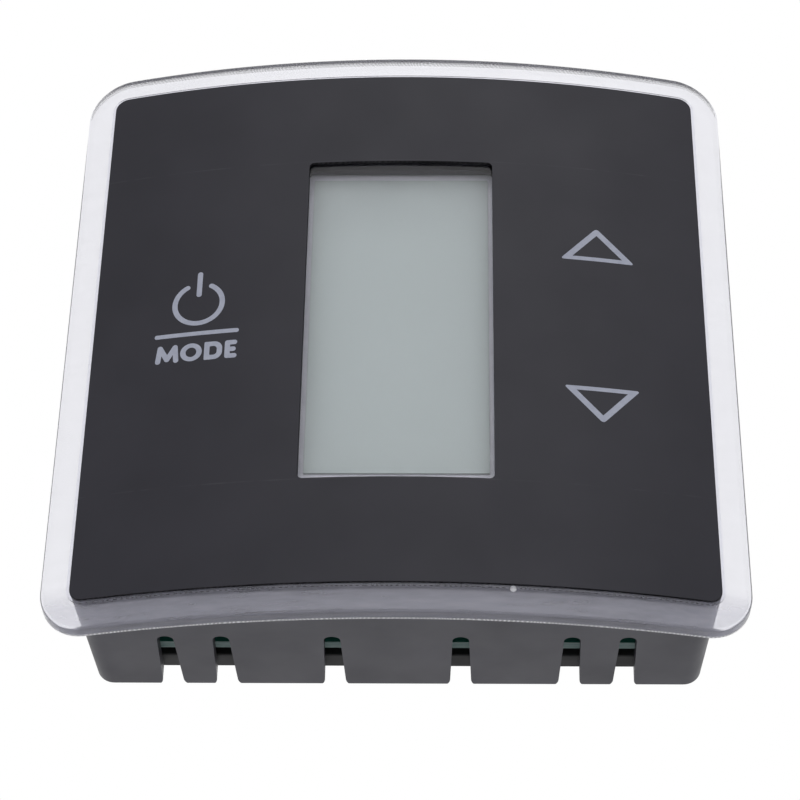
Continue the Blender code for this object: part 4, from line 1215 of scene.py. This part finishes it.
def make_main_board():
    """The board behind the vents, dressed on its wall side with all that a bare block leaves out."""
    board("main_board", "main_board_laminate")
    back = lying_box("main_board")[4]
    joints = board_joints()
    probes = test_pads()
    domes = [solder_dome(place, back - COPPER) for place in joints]
    add_piece("main_board_solder", together(domes), finish("solder_metal"), sharp=50.0, weighted=False)
    pads = [rod(PAD_RADIUS, back - COPPER, back, place, 28) for place in joints]
    pads += [rod(PROBE_RADIUS, back - COPPER, back, place, 24) for place in probes]
    bore, rim = HOLE_RING
    for place in screw_places("main_board"):
        hole = rod(bore, back - THROUGH, back + THROUGH, place, 32)
        pads.append(minus(rod(rim, back - COPPER, back, place, 40), hole))
    add_piece("main_board_pads", together(pads), finish("gold_plate"), weighted=False)
    make_small_parts(back)
    make_tracks(back, joints, probes)
    make_driver_chip(back)


def make_small_parts(back):
    """Tan capacitors and black resistors in turn, their ends, and the outlines printed round them."""
    bodies = ([], [])
    tips = []
    prints = []
    for index, (place, turned) in enumerate(small_part_places()):
        size = LARGE_PART if index % 3 else SMALL_PART
        body, ends = chip_part(place, size, back, turned)
        bodies[index % 2].append(body)
        tips += ends
        long, wide, _ = size
        spans = (wide, long) if turned else (long, wide)
        prints.append(printed_frame(spans, place, back, 0.7 * MM, 1.0 * MM))
    left, right, low, high, _, _ = lying_box("cable_socket")
    socket_place = (0.0, (low + high) / 2)
    prints.append(printed_frame((right - left, high - low), socket_place, back, 0.8 * MM, 1.2 * MM))
    add_piece("main_board_capacitors", together(bodies[1]), finish("ceramic_tan"), weighted=False)
    add_piece("main_board_resistors", together(bodies[0]), finish("ceramic_black"), weighted=False)
    add_piece("main_board_part_ends", together(tips), finish("tinned_metal"), weighted=False)
    add_piece("main_board_outlines", together(prints), finish("outline_ink"), weighted=False)


def make_tracks(back, joints, probes):
    """Tracks from the socket to the header, from every other small part, and from the lower test pads."""
    chance = random.Random(7)
    contact_y = lying_box("cable_socket")[3] + 0.2 * MM
    tracks = []
    for index, x in enumerate(contact_offsets()):
        tracks.append(track(dog_leg((x, contact_y), joints[1 + index]), back, CONTACT_TRACK_WIDTH))
    for (x, y), turned in small_part_places()[::2]:
        reach = chance.uniform(4.0, 7.5) * MM
        way = 1 if x < 0 else -1
        if turned:
            route = dog_leg((x, y - 1.3 * MM), (x + 1.6 * MM, y - reach))
        else:
            route = dog_leg((x + way * 1.3 * MM, y), (x + way * reach, y - 1.9 * MM))
        tracks.append(track(route, back))
    for index, start in enumerate(probes[:5]):
        end = (-20.0 * MM + index * 1.1 * MM, -13.5 * MM - index * 0.9 * MM)
        tracks.append(track(dog_leg(start, end), back))
    add_piece("main_board_tracks", together(tracks), finish("track_lacquer"), weighted=False)


def make_driver_chip(back):
    """An eight-legged chip with a round mark by its first leg."""
    x, y = CHIP_PLACE
    top = back - CHIP_HEIGHT
    body = soften(slab(*CHIP_SIZE, top, back - 0.1 * MM, 0.0, CHIP_PLACE), 0.18 * MM, 2)
    mark_place = (x - 1.8 * MM, y + 1.3 * MM)
    body = minus(body, rod(0.35 * MM, top - 0.1 * MM, top + 0.08 * MM, mark_place, 20))
    add_piece("driver_chip_body", body, finish("chip_epoxy"))
    legs = []
    for index in range(4):
        for side in (-1, 1):
            legs.append(gull_wing(x + (index - 1.5) * CHIP_LEG_PITCH, y, side, back))
    add_piece("driver_chip_legs", together(legs), finish("tinned_metal"), weighted=False)


def gull_wing(x, y, side, level):
    """A chip leg: out of the body, down to the board and along it."""
    width = 0.4 * MM
    half_thickness = 0.05 * MM
    route = ((-0.3 * MM, 0.75 * MM), (0.35 * MM, 0.75 * MM), (0.6 * MM, 0.14 * MM), (1.15 * MM, 0.14 * MM))
    body_edge = CHIP_SIZE[1] / 2
    upper = [(y + side * (body_edge + out), level - stand - half_thickness) for out, stand in route]
    lower = [(place, height + 2 * half_thickness) for place, height in reversed(upper)]
    leg = flat_shape([(x - width / 2, place, height) for place, height in upper + lower])
    return grow(leg, (width, 0.0, 0.0))


def printed_frame(spans, place, level, inner_gap, outer_gap):
    """The printed outline around a part, between two sizes larger than the part."""
    width, height = spans
    outer = slab(width + outer_gap, height + outer_gap, level - INK_HEIGHT, level, 0.0, place)
    inner = slab(width + inner_gap, height + inner_gap, level - THROUGH, level + THROUGH, 0.0, place)
    return minus(outer, inner)


# ---- small parts ----


def screw(node, turn):
    """A pan-head screw with a cross recess and a coarse thread, its head towards the wall."""
    left, right, _, _, bottom, top = lying_box(node)
    head = (right - left) / 2
    neck = bottom + SCREW_HEAD_HEIGHT
    profile = [(head * 0.76, bottom), (head * 0.93, bottom + 0.12 * MM), (head, bottom + 0.42 * MM)]
    profile += [(head, bottom + 1.2 * MM), (head * 0.97, neck), (SCREW_CORE, neck)]
    height = neck
    while height < top - SCREW_THREAD_END:
        flanks = ((SCREW_CORE, 0.28 * MM), (SCREW_THREAD, 0.4 * MM), (SCREW_CORE, 0.52 * MM))
        profile += [(radius, height + rise) for radius, rise in flanks]
        height += SCREW_PITCH
    profile += [(SCREW_CORE, top - SCREW_POINT), (0.0, top), (0.0, bottom)]
    shaft = lathe(profile, middle_of(node), 32)
    for quarter in (0.0, math.pi / 2):
        arm = slab(*RECESS_SIZE, bottom - THROUGH, bottom + RECESS_DEPTH)
        for vert in arm.verts:
            if vert.co.z > bottom:
                vert.co.x *= RECESS_TAPER
        spin = Matrix.Rotation(quarter + turn, 4, "Z")
        place = Matrix.Translation((*middle_of(node), 0.0))
        bmesh.ops.transform(arm, matrix=place @ spin, verts=arm.verts)
        shaft = minus(shaft, arm)
    return shaft


def make_screws(group):
    """The four screws of a board, each turned a little further than the last."""
    nodes = [f"{group}_screw_{number}" for number in range(1, 5)]
    shafts = [screw(node, 0.4 * number) for number, node in enumerate(nodes, 1)]
    add_piece(f"{group}_screws", together(shafts), finish("screw_zinc"), replaces=nodes)


def make_cable_socket():
    """The wall cable's socket: an open box with polarising grooves, a latch window and solder tabs."""
    left, right, low, high, bottom, top = lying_box("cable_socket")
    body = soften(box_mesh(left, right, low, high, bottom, top), SOCKET_EDGE, 2)
    inside = (left + SOCKET_WALL, right - SOCKET_WALL, low - THROUGH, high - SOCKET_BACK_WALL)
    body = minus(body, box_mesh(*inside, bottom + SOCKET_WALL, top - SOCKET_WALL))
    through_wall = (bottom - THROUGH, bottom + SOCKET_WALL + TINY)
    half = GROOVE_WIDTH / 2
    grooves = [
        box_mesh(x - half, x + half, low - THROUGH, low + GROOVE_LENGTH, *through_wall)
        for x in (-GROOVE_X, GROOVE_X)
    ]
    body = minus(body, together(grooves))
    window = box_mesh(-1.3 * MM, 1.3 * MM, low + 4.0 * MM, low + 4.9 * MM, *through_wall)
    body = minus(body, window)
    ivory = finish("socket_plastic")
    add_piece("cable_socket_body", body, ivory, replaces=["cable_socket"])

    nodes = [f"socket_contact_{number}" for number in range(1, 5)]
    pins = []
    for node in nodes:
        pin = box_mesh(*lying_box(node))
        mouth = lying_box(node)[2] + TINY
        tip = [edge for edge in pin.edges if all(vert.co.y < mouth for vert in edge.verts)]
        round_edges(pin, tip, 0.16 * MM, 2)
        pins.append(pin)
    add_piece("socket_contacts", together(pins), finish("gold_plate"), replaces=nodes)

    back = lying_box("main_board")[4]
    tabs = []
    for side in (-1, 1):
        place = (side * (right + 0.55 * MM), high - 2.0 * MM)
        tabs.append(soften(slab(1.0 * MM, 2.6 * MM, back - 0.35 * MM, back, 0.0, place), 0.08 * MM, 2))
    for x in contact_offsets():
        tabs.append(slab(0.55 * MM, 1.1 * MM, back - 0.22 * MM, back, 0.0, (x, high + 0.6 * MM)))
    add_piece("cable_socket_tabs", together(tabs), finish("solder_metal"), weighted=False)


# ---- wall plate ----


def plate_ribs(tray):
    """Two upright ribs in the lower half, a rib across the middle and the collar round the cable opening."""
    end = tray / 2 + 0.3 * MM
    bottom = PLATE_FLOOR - PLATE_MERGE
    ribs = [box_mesh(x - 0.5 * MM, x + 0.5 * MM, -end, -1.0 * MM, bottom, 2.8 * MM) for x in (-RIB_X, RIB_X)]
    ribs.append(box_mesh(-end, end, -1.5 * MM, -0.5 * MM, bottom, 2.75 * MM))
    width, height = (side + 2 * COLLAR_WIDTH for side in CABLE_OPENING)
    corner = CABLE_OPENING_CORNER + COLLAR_WIDTH
    ribs.append(slab(width, height, bottom, COLLAR_TOP, corner, (0.0, CABLE_OPENING_Y)))
    return ribs


def plate_slots():
    """(width, height, centre) of each screw slot: two lie flat, above and below, and two stand up."""
    slots = []
    for end in (-1, 1):
        slots.append((SLOT_LENGTH, SLOT_WIDTH, (0.0, end * SLOT_REACH)))
        slots.append((SLOT_WIDTH, SLOT_LENGTH, (end * SLOT_REACH, 0.0)))
    return slots


def slot_boss(width, height, centre):
    """The thicker ground around a screw slot."""
    corner = SLOT_WIDTH / 2 + BOSS_WIDTH - SINK_SLACK
    wider = 2 * BOSS_WIDTH
    return slab(width + wider, height + wider, PLATE_FLOOR - PLATE_MERGE, BOSS_TOP, corner, centre)


def slot_sink(width, height, centre, top):
    """The countersink of a screw slot: it narrows to the slot's own size at its bottom."""
    corner = SLOT_WIDTH / 2 + SINK_WIDTH - SINK_SLACK
    wide = width + 2 * SINK_WIDTH
    tall = height + 2 * SINK_WIDTH
    sink = slab(wide, tall, SINK_BOTTOM, top, corner, centre)
    for vert in sink.verts:
        if vert.co.z < SINK_BOTTOM + SINK_SLACK:
            vert.co.x = centre[0] + (vert.co.x - centre[0]) * (width / wide)
            vert.co.y = centre[1] + (vert.co.y - centre[1]) * (height / tall)
    return sink


def up_arrow():
    """A raised arrow that shows which way up the plate goes."""
    outline = ((0.0, 7.0), (2.6, 3.6), (1.0, 3.6), (1.0, 0.2), (-1.0, 0.2), (-1.0, 3.6), (-2.6, 3.6))
    left, low = ARROW_MARK_PLACE
    points = [(left + x * MM, low + y * MM, PLATE_FLOOR - 0.1 * MM) for x, y in outline]
    return grow(flat_shape(points), (0.0, 0.0, 0.5 * MM))


def make_wall_plate():
    """The moulding on the wall: a tray with ribs, latch arms, countersunk slots and a cable opening."""
    half = lying_box("wall_plate")[3]
    past = PLATE_RIB_TOP + THROUGH
    plate = soften(slab(2 * half, 2 * half, 0.0, PLATE_RIB_TOP, PLATE_CORNER), PLATE_EDGE, 3)
    tray = 2 * half - 2 * PLATE_RIB_WIDTH
    plate = minus(plate, slab(tray, tray, PLATE_FLOOR, past, PLATE_CORNER))
    raised = plate_ribs(tray) + [slot_boss(*slot) for slot in plate_slots()]
    raised += [latch_arm(side, end, half) for side in (-1, 1) for end in (-1, 1)]
    plate = joined([plate] + raised)
    opening = slab(*CABLE_OPENING, -THROUGH, past, CABLE_OPENING_CORNER, (0.0, CABLE_OPENING_Y))
    plate = minus(plate, opening)
    for wide, tall, centre in plate_slots():
        plate = minus(plate, slab(wide, tall, -THROUGH, past, SLOT_WIDTH / 2 - TINY, centre))
        plate = minus(plate, slot_sink(wide, tall, centre, past))
    places = corners(20.0 * MM, 27.0 * MM) + corners(27.5 * MM, 10.0 * MM)
    marks = [rod(PIN_MARK_RADIUS, -THROUGH, PIN_MARK_DEPTH, place, 32) for place in places]
    plate = minus(plate, together(marks))
    hollows = [
        slab(*HOLLOW_SIZE, -THROUGH, HOLLOW_DEPTH, HOLLOW_CORNER, (x, HOLLOW_Y))
        for x in (-HOLLOW_X, HOLLOW_X)
    ]
    plate = minus(plate, together(hollows))
    plate = plus(plate, up_arrow())
    add_piece("wall_plate_moulding", plate, plate_plastic(), WALL_SIDE, ["wall_plate"])


def latch_arm(side, end, outer):
    """A springy arm on a thickened foot, with a catch on its outer side."""
    _, reach, _, _, _, top = lying_box("wall_plate")
    inner = outer - LATCH_THICKNESS
    outline = [
        (inner, 1.5 * MM),
        (outer, 1.5 * MM),
        (outer, top - 0.7 * MM),
        (outer - 0.25 * MM, top - 0.12 * MM),
        (outer - 0.4 * MM, top),
        (inner + 0.2 * MM, top),
        (inner, top - 0.2 * MM),
        (inner, 2.9 * MM),
        (inner - 0.45 * MM, 2.2 * MM),
        (inner - 0.9 * MM, 1.9 * MM),
        (inner - 0.9 * MM, 1.5 * MM),
    ]
    catch = [(outer - 0.3 * MM, 2.8 * MM), (outer, 2.8 * MM), (reach, 3.15 * MM), (reach, 3.45 * MM)]
    catch += [(outer, 4.0 * MM), (outer - 0.3 * MM, 4.0 * MM)]
    parts = []
    for points, width in ((outline, LATCH_WIDTH), (catch, LATCH_CATCH_WIDTH)):
        start = end * LATCH_SPREAD - width / 2
        parts.append(grow(flat_shape([(side * x, start, z) for x, z in points]), (0.0, width, 0.0)))
    return plus(*parts)


# ---- finishes of the small parts ----

# dark tone, light tone and roughness, then a grain depth where it isn't the usual one
METALS = {
    "solder_metal": ((0.55, 0.56, 0.57), (0.78, 0.79, 0.80), 0.28),
    "tinned_metal": ((0.62, 0.62, 0.62), (0.80, 0.80, 0.80), 0.35),
    "gold_plate": ((0.70, 0.52, 0.22), (0.86, 0.66, 0.30), 0.3),
    "screw_zinc": ((0.48, 0.48, 0.50), (0.66, 0.66, 0.68), 0.32),
    "spring_wire": ((0.50, 0.50, 0.52), (0.70, 0.70, 0.72), 0.25),
    "plate_metal": ((0.60, 0.60, 0.61), (0.76, 0.76, 0.77), 0.3),
}
MOULDINGS = {
    "dried_glue": ((0.80, 0.80, 0.84), (0.92, 0.92, 0.95), 0.25),
    "reflector_film": ((0.66, 0.68, 0.67), (0.74, 0.76, 0.75), 0.35, 0.001 * MM),
    "ceramic_tan": ((0.30, 0.20, 0.12), (0.40, 0.28, 0.18), 0.5),
    "ceramic_black": ((0.015, 0.015, 0.016), (0.03, 0.03, 0.032), 0.4),
    "outline_ink": ((0.62, 0.62, 0.60), (0.78, 0.78, 0.76), 0.6),
    "track_lacquer": ((0.018, 0.20, 0.13), (0.03, 0.26, 0.17), 0.32, 0.001 * MM),
    "chip_epoxy": ((0.018, 0.018, 0.019), (0.032, 0.032, 0.034), 0.55),
    "socket_plastic": ((0.66, 0.60, 0.46), (0.76, 0.71, 0.57), 0.45),
    "holder_plastic": ((0.66, 0.67, 0.68), (0.78, 0.79, 0.80), 0.45),
    "guide_plastic": ((0.70, 0.73, 0.74), (0.82, 0.85, 0.86), 0.25),
    "led_package": ((0.70, 0.70, 0.60), (0.82, 0.82, 0.74), 0.4),
    "bead_lacquer": ((0.01, 0.01, 0.011), (0.025, 0.025, 0.027), 0.3),
}
NODE_FINISHES = {
    "display_holder": "holder_plastic",
    "light_guide": "guide_plastic",
    "backlight_led": "led_package",
    "contact_strip": "zebra_rubber",
    "touch_spring": "spring_wire",
    "microcontroller": "chip_epoxy",
    "clock_crystal": "plate_metal",
    "capacitor": "chip_epoxy",
    "power_inductor": "bead_lacquer",
    "power_regulator": "chip_epoxy",
    "line_chip": "chip_epoxy",
    "air_thermistor": "bead_lacquer",
    "link_": "ceramic_black",
}


finishes_made = {}


def finish(name):
    """A small part's finish: made when it is first asked for, then shared."""
    if name not in finishes_made:
        if name in METALS:
            finishes_made[name] = metal(name, *METALS[name])
        elif name in MOULDINGS:
            finishes_made[name] = moulding(name, *MOULDINGS[name])
        else:
            finishes_made[name] = zebra_rubber()
    return finishes_made[name]


def finish_hidden_nodes():
    """The CAD solids that keep their own shape, each with its finish."""
    for node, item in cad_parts.items():
        for start, name in NODE_FINISHES.items():
            if node.startswith(start):
                item.data.materials.clear()
                item.data.materials.append(finish(name))


# ---- scene ----

make_camera()
make_world()
make_floor()

make_face_plate()
make_overlay()
make_overlay_margin()
make_glue_bead()
make_symbols()
make_housing()
make_display()
make_main_board()
board("display_board", "display_board_laminate")
make_screws("main_board")
make_screws("display_board")
make_cable_socket()
make_wall_plate()
finish_hidden_nodes()

bpy.context.scene.view_settings.view_transform = "Standard"
